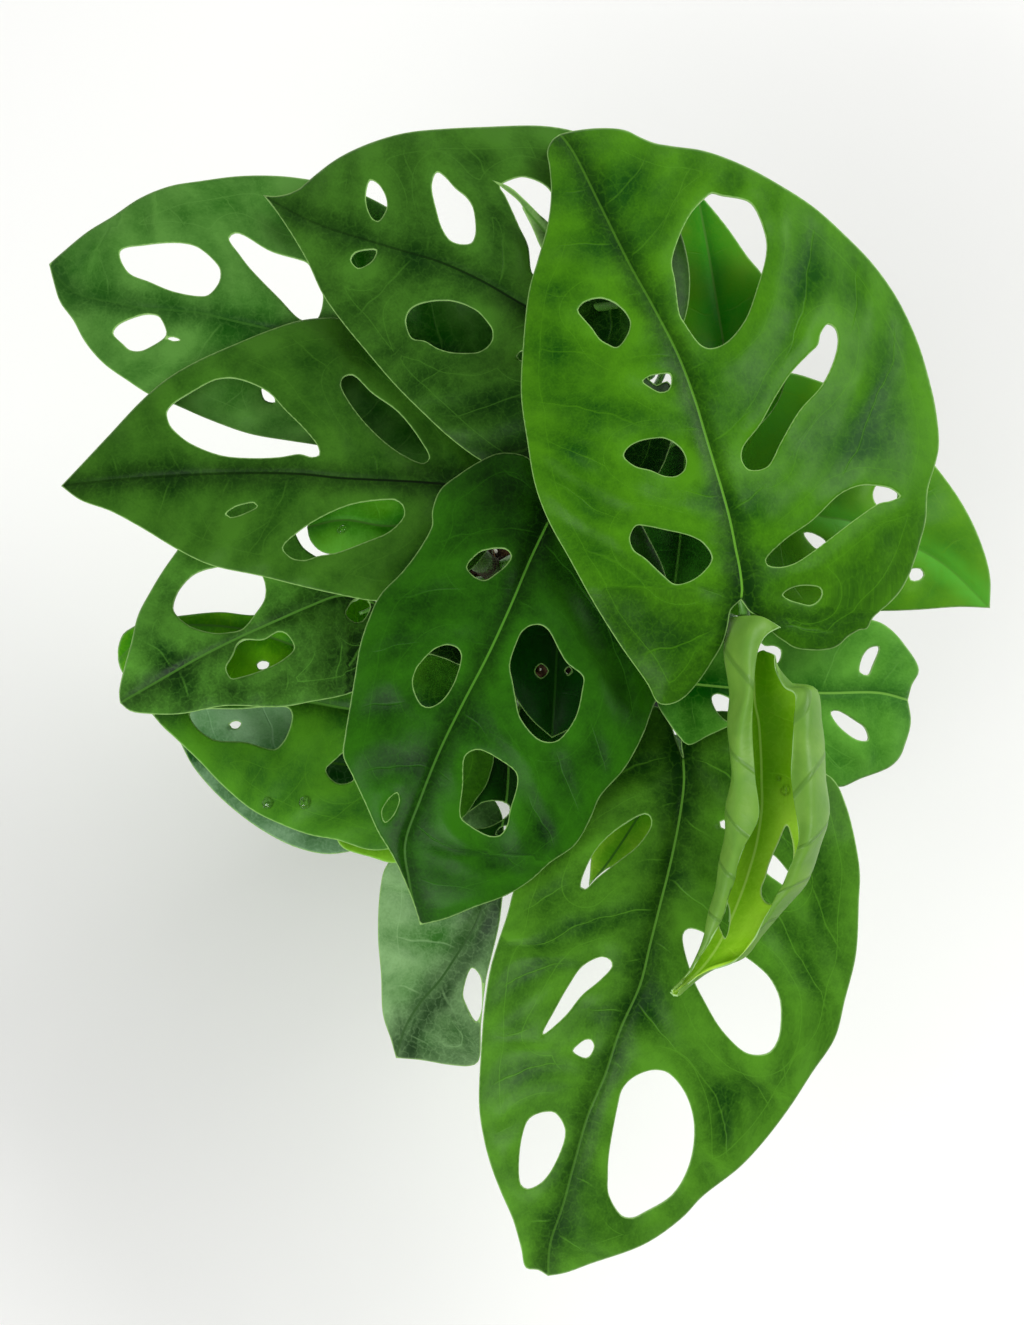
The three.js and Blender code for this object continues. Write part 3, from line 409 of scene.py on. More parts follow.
LEAVES["leaf_e"] = dict(
    lift=lift(203, 184, arch=9, cup=2.5, wave=1.5, waves=3),
    tones=("#082203", "#083403", "#3e6f1c"),
    rib="#0a1c04",
    stalk=stalk_on("stem_left", 0.95, 1.6, (-45, -8, 182)),
    midrib=[
        (490, 488), (455, 485), (420, 482), (380, 480), (340, 478), (300, 474), (260, 473),
        (210, 474), (170, 476), (130, 479), (95, 482), (61, 486)
    ],
    outline=[
        (61, 486), (80, 466), (110, 434), (140, 402), (165, 380), (195, 362), (235, 344),
        (275, 328), (302, 320), (340, 318), (370, 326), (400, 346), (430, 376), (460, 408),
        (480, 445), (490, 488), (497, 512), (492, 540), (475, 566), (440, 588), (405, 599),
        (375, 601), (340, 595), (300, 586), (260, 576), (210, 565), (180, 551), (140, 527),
        (110, 511), (80, 500)
    ],
    holes=[
        [(167, 412), (172, 405), (192, 392), (215, 380), (230, 378), (245, 381), (268, 392),
         (285, 410), (305, 430), (318, 447), (319, 455), (312, 457), (300, 454), (280, 457),
         (250, 458), (220, 455), (190, 443), (178, 434), (170, 425)],
        [(341, 385), (343, 378), (352, 375), (372, 393), (398, 412), (420, 440), (429, 458),
         (424, 463), (400, 453), (372, 430), (350, 403)],
        [(226, 514), (235, 507), (254, 503), (257, 506), (240, 515), (230, 517)],
        [(283, 548), (297, 533), (320, 518), (350, 505), (380, 500), (395, 500), (402, 505),
         (404, 515), (390, 531), (365, 542), (335, 553), (318, 556), (305, 560), (292, 558)],
    ],
)
LEAVES["leaf_l"] = dict(
    lift=lift(184, 156, arch=8, cup=2.5, wave=1.2, waves=3),
    tones=("#082403", "#083503", "#579431"),
    shaded=-0.4,
    stalk=stalk_on("stem_left", 0.66, 1.5, (-60, -24, 164)),
    midrib=[
        (380, 606), (360, 598), (338, 596), (310, 606), (280, 619), (240, 637), (200, 657),
        (160, 680), (120, 703)
    ],
    outline=[
        (120, 703), (119, 692), (124, 668), (131, 643), (138, 615), (150, 592), (162, 572),
        (176, 552), (195, 526), (222, 504), (256, 497), (285, 515), (303, 547), (317, 557),
        (340, 570), (360, 585), (380, 606), (404, 608), (432, 622), (458, 640), (467, 655),
        (463, 665), (445, 659), (427, 654), (404, 656), (386, 673), (351, 693), (310, 702),
        (280, 707), (225, 706), (180, 714), (150, 714), (130, 711)
    ],
    holes=[
        [(173, 608), (178, 592), (192, 576), (205, 570), (218, 567), (240, 560), (262, 576),
         (265, 597), (255, 614), (242, 629), (230, 632), (215, 633), (190, 626), (175, 613)],
        [(226, 668), (233, 655), (237, 645), (243, 640), (263, 640), (278, 632), (286, 634),
         (294, 648), (282, 660), (262, 670), (240, 677), (231, 678)],
        [(346, 614), (353, 601), (360, 598), (367, 600), (370, 607), (362, 621), (355, 622)],
    ],
)
LEAVES["leaf_m"] = dict(
    lift=lift(171, 144, arch=6, cup=2, wave=0.8, waves=2),
    # These tones are raised as painted light, against the shadow of the leaves above.
    tones=("#1c6a08", "#3a9207", "#75c012"),
    stalk=stalk_on("stem_left", 0.58, 1.2, (-58, -36, 150)),
    midrib=[(352, 668), (300, 648), (254, 632), (220, 626), (177, 626), (145, 636), (118, 660)],
    outline=[
        (118, 660), (118, 648), (123, 634), (131, 628), (150, 619), (177, 616), (220, 612),
        (254, 615), (288, 609), (320, 599), (352, 594), (372, 604), (376, 628), (366, 650),
        (352, 668), (348, 688), (320, 698), (290, 702), (220, 703), (150, 692), (128, 680),
        (120, 668)
    ],
    holes=[[(257, 664), (262, 661), (269, 663), (267, 668), (259, 669)]],
)
LEAVES["leaf_n"] = dict(
    lift=lift(166, 132, arch=8, cup=2, wave=1.2, waves=3),
    tones=("#083303", "#164d12", "#4c8a1c"),
    stalk=stalk_on("stem_left", 0.5, 1.4, (-42, -44, 148)),
    midrib=[(458, 708), (400, 712), (350, 709), (308, 702), (250, 698), (200, 704), (151, 713)],
    outline=[
        (151, 713), (163, 727), (175, 738), (200, 762), (222, 785), (252, 810), (280, 824),
        (310, 835), (337, 840), (370, 850), (395, 848), (430, 838), (463, 818), (476, 800),
        (486, 786), (491, 772), (494, 757), (488, 735), (476, 718), (458, 708), (470, 690),
        (468, 672), (455, 662), (430, 654), (408, 664), (388, 684), (330, 685), (250, 686),
        (190, 696)
    ],
    holes=[
        [(190, 712), (240, 709), (288, 708), (292, 716), (287, 735), (282, 743), (275, 749),
         (245, 742), (213, 739), (194, 724)],
        [(326, 770), (335, 760), (346, 752), (352, 765), (353, 780), (337, 783)],
    ],
)
LEAVES["leaf_o"] = dict(
    lift=lift(146, 114, arch=6, cup=1.5, wave=0.8, waves=2),
    # The pale, greyish light tone is a painted sheen of the wax, and shaded=-1 darkens the outer
    # half as painted shade.
    tones=("#0c4a08", "#4c8444", "#8cb489"),
    shaded=-1,
    stalk=stalk_on("stem_left", 0.42, 1.3, (-46, -54, 130)),
    midrib=[(418, 768), (350, 765), (290, 757), (230, 748), (184, 744)],
    outline=[
        (180, 742), (192, 765), (208, 785), (225, 802), (247, 820), (270, 835), (295, 847),
        (325, 854), (352, 851), (375, 843), (400, 825), (416, 797), (418, 768), (410, 738),
        (370, 705), (300, 686), (230, 688), (197, 697), (181, 716), (177, 730)
    ],
    holes=[[(229, 724), (235, 721), (241, 723), (238, 728), (232, 728)]],
)
LEAVES["leaf_s"] = dict(
    lift=lift(195, 190, arch=2, cup=1.5, wave=0.3, waves=1),
    # These tones are raised as painted light, against the shadow of the leaves above.
    tones=("#207703", "#5a9e03", "#6aba3c"),
    stalk=stalk_on("stem_left", 0.88, 1.2, (-56, -12, 176)),
    midrib=[(432, 520), (388, 526), (343, 520), (307, 527)],
    outline=[
        (307, 527), (310, 540), (322, 552), (345, 554), (370, 544), (405, 545), (428, 536),
        (432, 520), (428, 503), (395, 490), (345, 492), (320, 505)
    ],
    holes=[],
)
print("with the left side:", len(LEAVES))

# %% Leaves of the right side, the front and the middle
LEAVES["leaf_i"] = dict(
    lift=lift(212, 168, arch=6, cup=3, wave=1.0, waves=2, tilt=-0.22),
    tones=("#095003", "#216307", "#5b9c32"),
    rib="#74ac42",
    stalk=stalk_on("stem_right", 0.8, 1.4, (36, -56, 178)),
    midrib=[(692, 684), (735, 688), (820, 693), (880, 693), (908, 700)],
    outline=[
        (908, 700), (911, 722), (905, 745), (900, 757), (890, 767), (860, 779), (840, 787),
        (824, 780), (808, 760), (795, 732), (765, 714), (740, 722), (710, 735), (688, 745),
        (680, 738), (668, 722), (657, 702), (660, 692), (672, 684), (692, 684), (700, 668),
        (712, 650), (724, 641), (736, 639), (743, 627), (754, 619), (775, 616), (820, 618),
        (873, 620), (888, 627), (905, 645), (919, 670), (912, 685)
    ],
    holes=[
        [(860, 672), (863, 656), (870, 648), (879, 647), (873, 665), (868, 675)],
        [(831, 712), (838, 711), (857, 722), (865, 728), (868, 740), (858, 740), (838, 725)],
        [(712, 697), (717, 694), (731, 700), (731, 712), (728, 721), (716, 710)],
        [(739, 654), (741, 642), (749, 634), (757, 634), (760, 641), (765, 646), (774, 646),
         (781, 650), (781, 657), (777, 664), (768, 668), (750, 668)],
    ],
)
LEAVES["leaf_j"] = dict(
    lift=lift(188, 150, arch=12, cup=3, wave=1.5, waves=3),
    tones=("#51a62e", "#316d11", "#569216"),
    rib="#4c8a26",
    stalk=stalk_on("stem_right", 0.72, 1.5, (56, -8, 168)),
    midrib=[(742, 492), (780, 505), (822, 516), (850, 521), (900, 540), (945, 565), (990, 608)],
    outline=[
        (990, 608), (960, 607), (915, 610), (880, 611), (840, 609), (800, 612), (768, 618),
        (748, 617), (731, 614), (719, 602), (717, 580), (726, 552), (742, 492), (728, 470),
        (728, 430), (738, 395), (760, 372), (792, 373), (822, 382), (850, 392), (880, 410),
        (910, 436), (937, 468), (960, 500), (978, 535), (990, 575)
    ],
    holes=[
        [(873, 495), (877, 485), (888, 484), (897, 491), (896, 502), (887, 508), (877, 505)],
        [(804, 533), (812, 533), (826, 542), (818, 549), (810, 543)],
        [(910, 570), (921, 569), (924, 575), (919, 580), (911, 580)],
    ],
)
LEAVES["leaf_k"] = dict(
    lift=lift(206, 184, arch=8, cup=3, wave=0.8, waves=2),
    # These tones are raised as painted light, against the shadow of leaf_a above.
    tones=("#1f7a08", "#2c8a0a", "#4f8911"),
    stalk=stalk_on("stem_back", 0.97, 1.3, (34, 18, 190)),
    midrib=[(737, 425), (728, 370), (718, 310), (708, 250), (697, 192)],
    outline=[
        (697, 192), (704, 199), (727, 227), (748, 257), (762, 274), (776, 300), (784, 330),
        (787, 370), (780, 398), (765, 420), (748, 432), (737, 425), (718, 428), (700, 412),
        (688, 390), (676, 350), (668, 310), (668, 275), (677, 240), (688, 210)
    ],
    holes=[],
)
LEAVES["leaf_p"] = dict(
    lift=lift(147, 78, arch=14, cup=2, wave=1.2, waves=2),
    # The pale grey-green light tone is a painted reflection, and shaded=-1 darkens one half as
    # painted shade.
    tones=("#082d03", "#2b6217", "#7fa66d"),
    rib="#2c4f1e",
    shaded=-1,
    stalk=stalk_on("stem_front", 0.8, 1.4, (-20, -100, 144), (-6, -68, 130)),
    midrib=[
        (505, 846), (492, 880), (483, 905), (475, 925), (460, 950), (440, 980), (420, 1003),
        (405, 1028), (396, 1058)
    ],
    outline=[
        (396, 1058), (391, 1040), (383, 1015), (381, 975), (378, 935), (380, 890), (385, 868),
        (392, 860), (418, 862), (440, 845), (450, 820), (466, 801), (488, 795), (501, 812),
        (505, 846), (512, 865), (504, 890), (499, 925), (492, 955), (486, 980), (481, 1022),
        (478, 1062), (470, 1066), (450, 1065), (420, 1060)
    ],
    holes=[
        [(472, 968), (480, 976), (482, 995), (481, 1012), (476, 1022), (466, 1005), (463, 995)],
    ],
)
LEAVES["leaf_q"] = dict(
    lift=lift(152, 146, arch=3, cup=1.5, wave=0.3, waves=1),
    # These tones are raised as painted light, against the shadow of the leaves above.
    tones=("#3b7008", "#558f10", "#7cbb28"),
    stalk=stalk_on("stem_front", 0.5, 1.2, (-30, -76, 120)),
    midrib=[(425, 815), (400, 826), (370, 834), (336, 831)],
    outline=[
        (336, 831), (337, 840), (343, 848), (370, 857), (396, 863), (415, 852), (427, 835),
        (425, 815), (415, 803), (390, 806), (360, 818)
    ],
    holes=[],
)
LEAVES["leaf_t"] = dict(
    lift=lift(178, 168, arch=4, cup=2, wave=0.5, waves=2),
    # These tones are darkened nearly to black as painted shade: the leaf lies deep in the shadow of
    # the leaves above.
    tones=("#082703", "#083003", "#084203"),
    rib="#1f4a10",
    stalk=stalk_on("stem_front", 0.66, 1.2, (-2, -22, 152)),
    midrib=[(565, 604), (558, 640), (555, 690), (552, 738)],
    outline=[
        (552, 738), (530, 718), (512, 690), (506, 655), (514, 625), (538, 604), (565, 604),
        (590, 612), (602, 645), (596, 690), (575, 725)
    ],
    holes=[
        [(535, 671), (541, 664), (548, 671), (541, 678)],
        [(565, 671), (569, 667), (572, 672), (568, 675)],
    ],
)
LEAVES["leaf_r"] = dict(
    lift=lift(162, 156, arch=3, cup=2, wave=0.5, waves=2),
    # These tones are darkened nearly to black as painted shade: the leaf lies deep in the shadow of
    # the leaves above.
    tones=("#082203", "#0a3a04", "#1a4a0c"),
    stalk=stalk_on("stem_front", 0.55, 1.2, (-8, -54, 140)),
    midrib=[(520, 705), (510, 750), (507, 795), (500, 840), (495, 884)],
    outline=[
        (495, 884), (470, 868), (450, 842), (447, 808), (458, 770), (480, 735), (500, 712),
        (520, 705), (548, 708), (578, 730), (588, 765), (578, 810), (550, 850), (515, 878)
    ],
    holes=[
        [(463, 818), (475, 808), (482, 803), (492, 801), (503, 802), (509, 806), (509, 813),
         (500, 821), (490, 826), (476, 828)],
        [(496, 834), (500, 828), (507, 826), (508, 831), (503, 836)],
    ],
)
LEAVES["leaf_u"] = dict(
    lift=lift(166, 158, arch=4, cup=2, wave=0.5, waves=2),
    # These tones are raised as painted light, for the light that comes through the blade under the
    # leaves above.
    tones=("#4a9a10", "#78c81c", "#b0e040"),
    stalk=stalk_on("stem_right", 0.45, 1.2, (30, -84, 142)),
    midrib=[(668, 762), (655, 790), (638, 817), (622, 842), (606, 865), (589, 886)],
    outline=[
        (589, 886), (590, 872), (591, 858), (594, 835), (602, 800), (622, 772), (645, 758),
        (668, 762), (682, 776), (688, 800), (675, 832), (650, 855), (625, 864), (608, 868),
        (597, 877)
    ],
    holes=[],
)
LEAVES["leaf_v"] = dict(
    lift=lift(164, 160, arch=4, cup=2, wave=0.6, waves=2),
    tones=("#0c3004", "#104a06", "#3a7a22"),
    stalk=stalk_on("stem_right", 0.6, 1.2, (36, 6, 150)),
    midrib=[(686, 436), (684, 480), (680, 540), (674, 590), (668, 636)],
    outline=[
        (668, 636), (645, 615), (630, 580), (625, 535), (632, 490), (650, 455), (668, 440),
        (686, 436), (704, 440), (720, 470), (726, 515), (720, 560), (705, 600), (688, 625)
    ],
    holes=[],
)
LEAVES["leaf_spear"] = dict(
    lift=lift(227, 225, arch=3, cup=18, wave=0, waves=1),
    tones=("#46702e", "#639245", "#8fbb6c"),
    stalk=stalk_on("stem_back", 0.8, 1.2,
                   (12, 44, 231), (21.5, 32, 222), (22, 33, 206), (20, 34, 190)),
    midrib=[(584, 290), (562, 256), (540, 226), (516, 200), (492, 180)],
    outline=[
        (492, 180), (510, 187), (525, 200), (540, 215), (548, 222), (562, 240), (574, 262),
        (584, 290), (566, 278), (552, 264), (541, 248), (530, 222), (520, 203), (505, 190)
    ],
    holes=[],
)
print("all flat leaves:", len(LEAVES))

# %% [markdown]
# ## Curves
# A drawn leaf has a few dozen points per outline. A centripetal Catmull-Rom curve runs
# through all of them without loops or overshoot, and is cut into even steps. Only two
# points of an outline stay sharp: the tip and the notch where the stalk joins.

# %% Smooth curves through drawn points
def smooth(points, step, closed=False):
    """A centripetal Catmull-Rom curve through points, cut about every step."""
    points = np.asarray(points, float)
    if closed:
        ring = np.vstack([points[-1:], points, points[:2]])
    else:
        ring = np.vstack([2 * points[0] - points[1], points, 2 * points[-1] - points[-2]])
    gaps = np.linalg.norm(np.diff(ring, axis=0), axis=1)
    knots = np.concatenate([[0], np.cumsum(np.sqrt(np.maximum(gaps, 1e-9)))])
    curve = []
    for i in range(1, len(ring) - 2):
        p0, p1, p2, p3 = ring[i - 1 : i + 3]
        t0, t1, t2, t3 = knots[i - 1 : i + 3]
        span = t2 - t1
        leave = ((p1 - p0) / (t1 - t0) - (p2 - p0) / (t2 - t0)) * span + (p2 - p1)
        arrive = ((p3 - p2) / (t3 - t2) - (p3 - p1) / (t3 - t1)) * span + (p2 - p1)
        w = np.arange(max(1, round(gaps[i] / step)))[:, None]
        w = w / len(w)
        start, end = 2 * w**3 - 3 * w**2 + 1, 3 * w**2 - 2 * w**3
        leaving, arriving = w**3 - 2 * w**2 + w, w**3 - w**2
        curve.append(start * p1 + end * p2 + leaving * leave + arriving * arrive)
    if not closed:
        curve.append(points[-1:])
    return np.vstack(curve)


def smooth_rim(points, corners, step):
    """A closed outline that is smooth but for the corners; the first of them is 0."""
    loop = [*points, points[0]]
    cuts = [*corners, len(points)]
    return np.vstack([smooth(loop[a : b + 1], step)[:-1] for a, b in zip(cuts, cuts[1:])])


def inside(spots, loop):
    """Which of the spots lie inside a closed loop, by the even-odd rule."""
    x, y = spots[:, 0, None], spots[:, 1, None]
    a, b = loop, np.roll(loop, -1, axis=0)
    crosses = (a[:, 1] > y) != (b[:, 1] > y)
    with np.errstate(divide="ignore", invalid="ignore"):
        at = a[:, 0] + (y - a[:, 1]) * (b[:, 0] - a[:, 0]) / (b[:, 1] - a[:, 1])
    return (crosses & (x < at)).sum(axis=1) % 2 == 1


def distance_to(spots, curve):
    """The distance of each spot to the nearest point of a finely cut curve."""
    tree = kdtree.KDTree(len(curve))
    for i, (u, v) in enumerate(curve):
        tree.insert((u, v, 0), i)
    tree.balance()
    return np.array([tree.find((u, v, 0))[2] for u, v in spots])


test_loop = smooth([(0, 0), (10, 0), (10, 10), (0, 10)], 1, closed=True)
print("loop points:", len(test_loop), "centre inside:", inside(np.array([(5.0, 5.0)]), test_loop))

# %% [markdown]
# ## Blade coordinates
# Every point of a blade knows two lengths: s along the midrib and t across it, both in
# mm. The side veins leave the midrib and bend towards the tip, so one vein is a line of
# constant p = s - 0.28 t - 0.009 t^2. The natural holes open between two side veins. A
# piecewise straight map from p to a vein phase therefore puts every hole halfway
# between two whole numbers, and the veins run along the whole numbers.

# %% Midrib and vein coordinates
VEIN_SPACING = 19.0  # mm along the midrib
VEIN_LEAN, VEIN_BEND = 0.28, 0.009
LOBE_REACH = 90.0  # mm the midrib's line is carried on past both its ends
LOBE_FAN, LOBE_FAN_MOST = 20.0, 3.0  # how the veins fan out behind the stalk
SAME_VEINS = 0.55 * VEIN_SPACING  # holes nearer than this lie between the same two veins


def unit(vector):
    return vector / np.linalg.norm(vector)


def midrib_frame(spots, midrib):
    """s and t in mm of sheet spots, measured along and across the midrib."""
    back = unit(midrib[0] - midrib[4]) * LOBE_REACH / SHEET_UNIT
    ahead = unit(midrib[-1] - midrib[-5]) * LOBE_REACH / SHEET_UNIT
    line = np.vstack([midrib[0] + back, midrib, midrib[-1] + ahead])
    starts, steps = line[:-1], np.diff(line, axis=0)
    lengths = np.linalg.norm(steps, axis=1)
    run = np.concatenate([[0], np.cumsum(lengths)]) - lengths[0]
    best = np.full(len(spots), np.inf)
    s, t = np.zeros(len(spots)), np.zeros(len(spots))
    for start, step, length, at in zip(starts, steps, lengths, run):
        offset = spots - start
        along = np.clip(offset @ step / length, 0, length)
        foot = along[:, None] * step / length
        away = np.linalg.norm(offset - foot, axis=1)
        side = np.sign(offset[:, 1] * step[0] - offset[:, 0] * step[1])
        nearer = away < best
        best = np.where(nearer, away, best)
        s = np.where(nearer, at + along, s)
        t = np.where(nearer, side * away, t)
    return s * SHEET_UNIT, t * SHEET_UNIT


def vein_place(s, t):
    """p: where on the midrib, in mm, the side vein through s, t comes from."""
    across = np.abs(t)
    p = s - VEIN_LEAN * across - VEIN_BEND * across**2
    fan = np.minimum(LOBE_FAN / (across + 4), LOBE_FAN_MOST)
    return np.where(p < 0, p * fan, p)


def vein_phase(p, holes_at):
    """The phase of the side veins; holes_at lists p of the holes of this side."""
    if not len(holes_at):
        return p / VEIN_SPACING
    groups = [[holes_at[0]]]
    for place in holes_at[1:]:
        if place - np.mean(groups[-1]) < SAME_VEINS:
            groups[-1].append(place)
        else:
            groups.append([place])
    places = np.array([np.mean(group) for group in groups])
    steps = np.maximum(1, np.round(np.diff(places) / VEIN_SPACING))
    phases = 0.5 + np.concatenate([[0], np.cumsum(steps)])
    phase = np.interp(p, places, phases)
    phase = np.where(p < places[0], phases[0] + (p - places[0]) / VEIN_SPACING, phase)
    return np.where(p > places[-1], phases[-1] + (p - places[-1]) / VEIN_SPACING, phase)


demo = vein_phase(np.array([10.0, 20.0, 40.0]), np.array([10.0, 40.0]))
print("phases at two holes and between:", demo.round(2))

# %% [markdown]
# ## From a drawing to a blade
# The drawing is filled with points: the rims, a row of points close inside each rim,
# rows beside the midrib and a hexagonal lattice for the rest. A constrained Delaunay
# triangulation joins them, which keeps every rim and the midrib as edges. Each point is
# then lifted: first by the leaf's large bend, then by its fine relief, which is a
# gutter along the midrib, soft quilting between the side veins, slow unevenness and a
# margin that rolls down a little. The underside lies 0.45 mm below and carries the
# midrib as a rounded keel, so the blade is a closed, thin solid.

# %% Heights of a blade
BLADE_THICKNESS = 0.45
KEEL_HEIGHT, KEEL_WIDTH = 1.5, 1.1
GUTTER_DEPTH, GUTTER_WIDTH = 1.5, 5.0
GROOVE_DEPTH, GROOVE_WIDTH = 0.5, 1.3
QUILT_HEIGHT = 1.3
ROLL_DEPTH, ROLL_WIDTH = 0.7, 2.2
CUP_REACH, RIPPLE_REACH = 32.0, 50.0  # mm from the midrib


def ramp(value, low, high):
    """A smooth step from 0 at low to 1 at high."""
    x = np.clip((np.asarray(value, float) - low) / (high - low), 0, 1)
    return x * x * (3 - 2 * x)


def bend_height(spots, base, tip, lift):
    """The large form of a leaf: the same bend as its solid."""
    axis = np.array(tip, float) - base
    length = np.linalg.norm(axis)
    ex, ey = axis / length
    du, dv = spots[:, 0] - base[0], spots[:, 1] - base[1]
    along = (du * ex + dv * ey) / length
    across = (dv * ex - du * ey) * SHEET_UNIT
    level = lift["base"] + (lift["tip"] - lift["base"]) * along
    level = level + 4 * lift["arch"] * along * (1 - along)
    droop = lift["tilt"] * across - lift["cup"] * (across / CUP_REACH) ** 2
    ripple = lift["wave"] * np.sin(2 * math.pi * lift["waves"] * along)
    return level + droop + ripple * np.minimum(1, (across / RIPPLE_REACH) ** 2)


def slow_noise(spots, size, seed):
    """Smooth noise of about +-1 whose lumps are size mm wide."""
    scale = SHEET_UNIT / size
    return np.array([noise.noise((u * scale, v * scale, seed)) for u, v in spots]) * 1.6


def relief_height(spots, s, t, phase, edge, seed):
    """The fine form: gutter, quilting between the veins, unevenness, rolled margin."""
    across = np.abs(t)
    at_stalk = 0.25 + 0.75 * ramp(s, 0, 14)
    gutter = GUTTER_DEPTH * ((1 - np.exp(-across / GUTTER_WIDTH)) - 0.75) * at_stalk
    groove = -GROOVE_DEPTH * np.exp(-((across / GROOVE_WIDTH) ** 2)) * at_stalk
    quilt = 0.5 - 0.5 * np.cos(2 * math.pi * phase)
    quilt = QUILT_HEIGHT * (quilt - 0.4) * ramp(across, 1, 12) * ramp(edge, 0, 7)
    uneven = slow_noise(spots, 26, seed) * 0.9 + slow_noise(spots, 11, seed + 9) * 0.35
    uneven = uneven * ramp(across, 0, 8)
    roll = -ROLL_DEPTH * np.exp(-edge / ROLL_WIDTH)
    return gutter + groove + (quilt + uneven) + roll


print("ramp of 0.5 between 0 and 1:", ramp(0.5, 0, 1))

# %% Triangles of a blade
RIM_STEP, HOLE_STEP, RIB_STEP, FINE_STEP = 4.5, 3.5, 4.0, 1.0  # sheet units
CELL = 5.5
BESIDE_RIM, CLEAR_OF_RIM = 2.4, 1.9
BESIDE_RIB, CLEAR_OF_RIB = (1.9, 4.3, 7.5), 1.6
CLEAR_OF_ALL = 0.62  # of a lattice cell


def rows_beside(curve, offsets):
    """Points beside a curve, at each of the offsets along its normals."""
    tangent = np.gradient(curve, axis=0)
    tangent = tangent / np.linalg.norm(tangent, axis=1)[:, None]
    normal = np.column_stack([-tangent[:, 1], tangent[:, 0]])
    return np.vstack([curve + normal * offset for offset in offsets])


def lattice(low, high, cell):
    """A hexagonal lattice over a rectangle."""
    rows = np.arange(low[1], high[1], cell * 0.866)
    columns = np.arange(low[0], high[0], cell)
    u, v = np.meshgrid(columns, rows)
    u = u + np.where(np.arange(len(rows)) % 2, cell / 2, 0)[:, None]
    return np.column_stack([u.ravel(), v.ravel()])


def on_blade(spots, rims):
    """Which spots lie inside the first rim and in none of the holes."""
    keep = inside(spots, rims[0])
    for hole in rims[1:]:
        keep &= ~inside(spots, hole)
    return keep


def fill_blade(rims, midrib, cell=CELL):
    """Fills the first rim, less the other rims, with triangles. Returns the spots,
    the triangles and the rim edges, both counter-clockwise as seen from the eye."""
    all_rims = np.vstack(rims)
    near_rims = np.vstack([rows_beside(rim, (-BESIDE_RIM, BESIDE_RIM)) for rim in rims])
    near_rims = near_rims[distance_to(near_rims, all_rims) > CLEAR_OF_RIM]
    near_rib = rows_beside(midrib, sorted([*BESIDE_RIB, *(-x for x in BESIDE_RIB)]))
    near_rib = near_rib[distance_to(near_rib, np.vstack([all_rims, near_rims])) > CLEAR_OF_RIB]
    taken = np.vstack([all_rims, near_rims, near_rib, midrib])
    field = lattice(all_rims.min(axis=0), all_rims.max(axis=0), cell)
    field = field[distance_to(field, taken) > CLEAR_OF_ALL * cell]
    loose = np.vstack([near_rims, near_rib, field])
    loose = loose[on_blade(loose, rims)]
    points = np.vstack([*rims, midrib, loose]) * (1, -1)
    edges, first = [], 0
    for rim in rims:
        ring = np.arange(first, first + len(rim))
        edges += list(zip(ring.tolist(), np.roll(ring, -1).tolist()))
        first += len(rim)
    edges += [(i, i + 1) for i in range(first, first + len(midrib) - 1)]
    found = delaunay_2d_cdt([Vector(p) for p in points], edges, [], 0, 1e-4, False)
    spots = np.array([tuple(p) for p in found[0]])
    triangles = np.array(found[2])
    triangles = triangles[on_blade(spots[triangles].mean(axis=1) * (1, -1), rims)]
    used, flat = np.unique(triangles, return_inverse=True)
    triangles = flat.reshape(-1, 3)
    spots = spots[used] * (1, -1)
    directed = np.vstack([triangles[:, [0, 1]], triangles[:, [1, 2]], triangles[:, [2, 0]]])
    known = {tuple(edge) for edge in directed.tolist()}
    border = np.array([edge for edge in directed.tolist() if (edge[1], edge[0]) not in known])
    return spots, triangles, border


square = smooth_rim([(0, 0), (60, 0), (60, 60), (0, 60)], (0, 1, 2, 3), 5)
demo = fill_blade([square], smooth([(0, 0), (60, 60)], 4))
print("filled square:", len(demo[0]), "points", len(demo[1]), "triangles", len(demo[2]), "rim")

# %% [markdown]
# ## One closed mesh per leaf
# A leaf's parts are gathered as plain arrays and joined once. Every face knows its
# surface (upper side, underside, margin, stalk), and its corners carry two maps: the
# vein map (phase, distance from the midrib) and the blade map (s, t). Each point also
# keeps its distance to the nearest rim, for the pale line along the margins.

# %% Gather arrays and make a mesh
UPPER, UNDER, MARGIN, STALK = range(4)
FAR_FROM_RIM = 20.0  # mm, where no rim distance is given


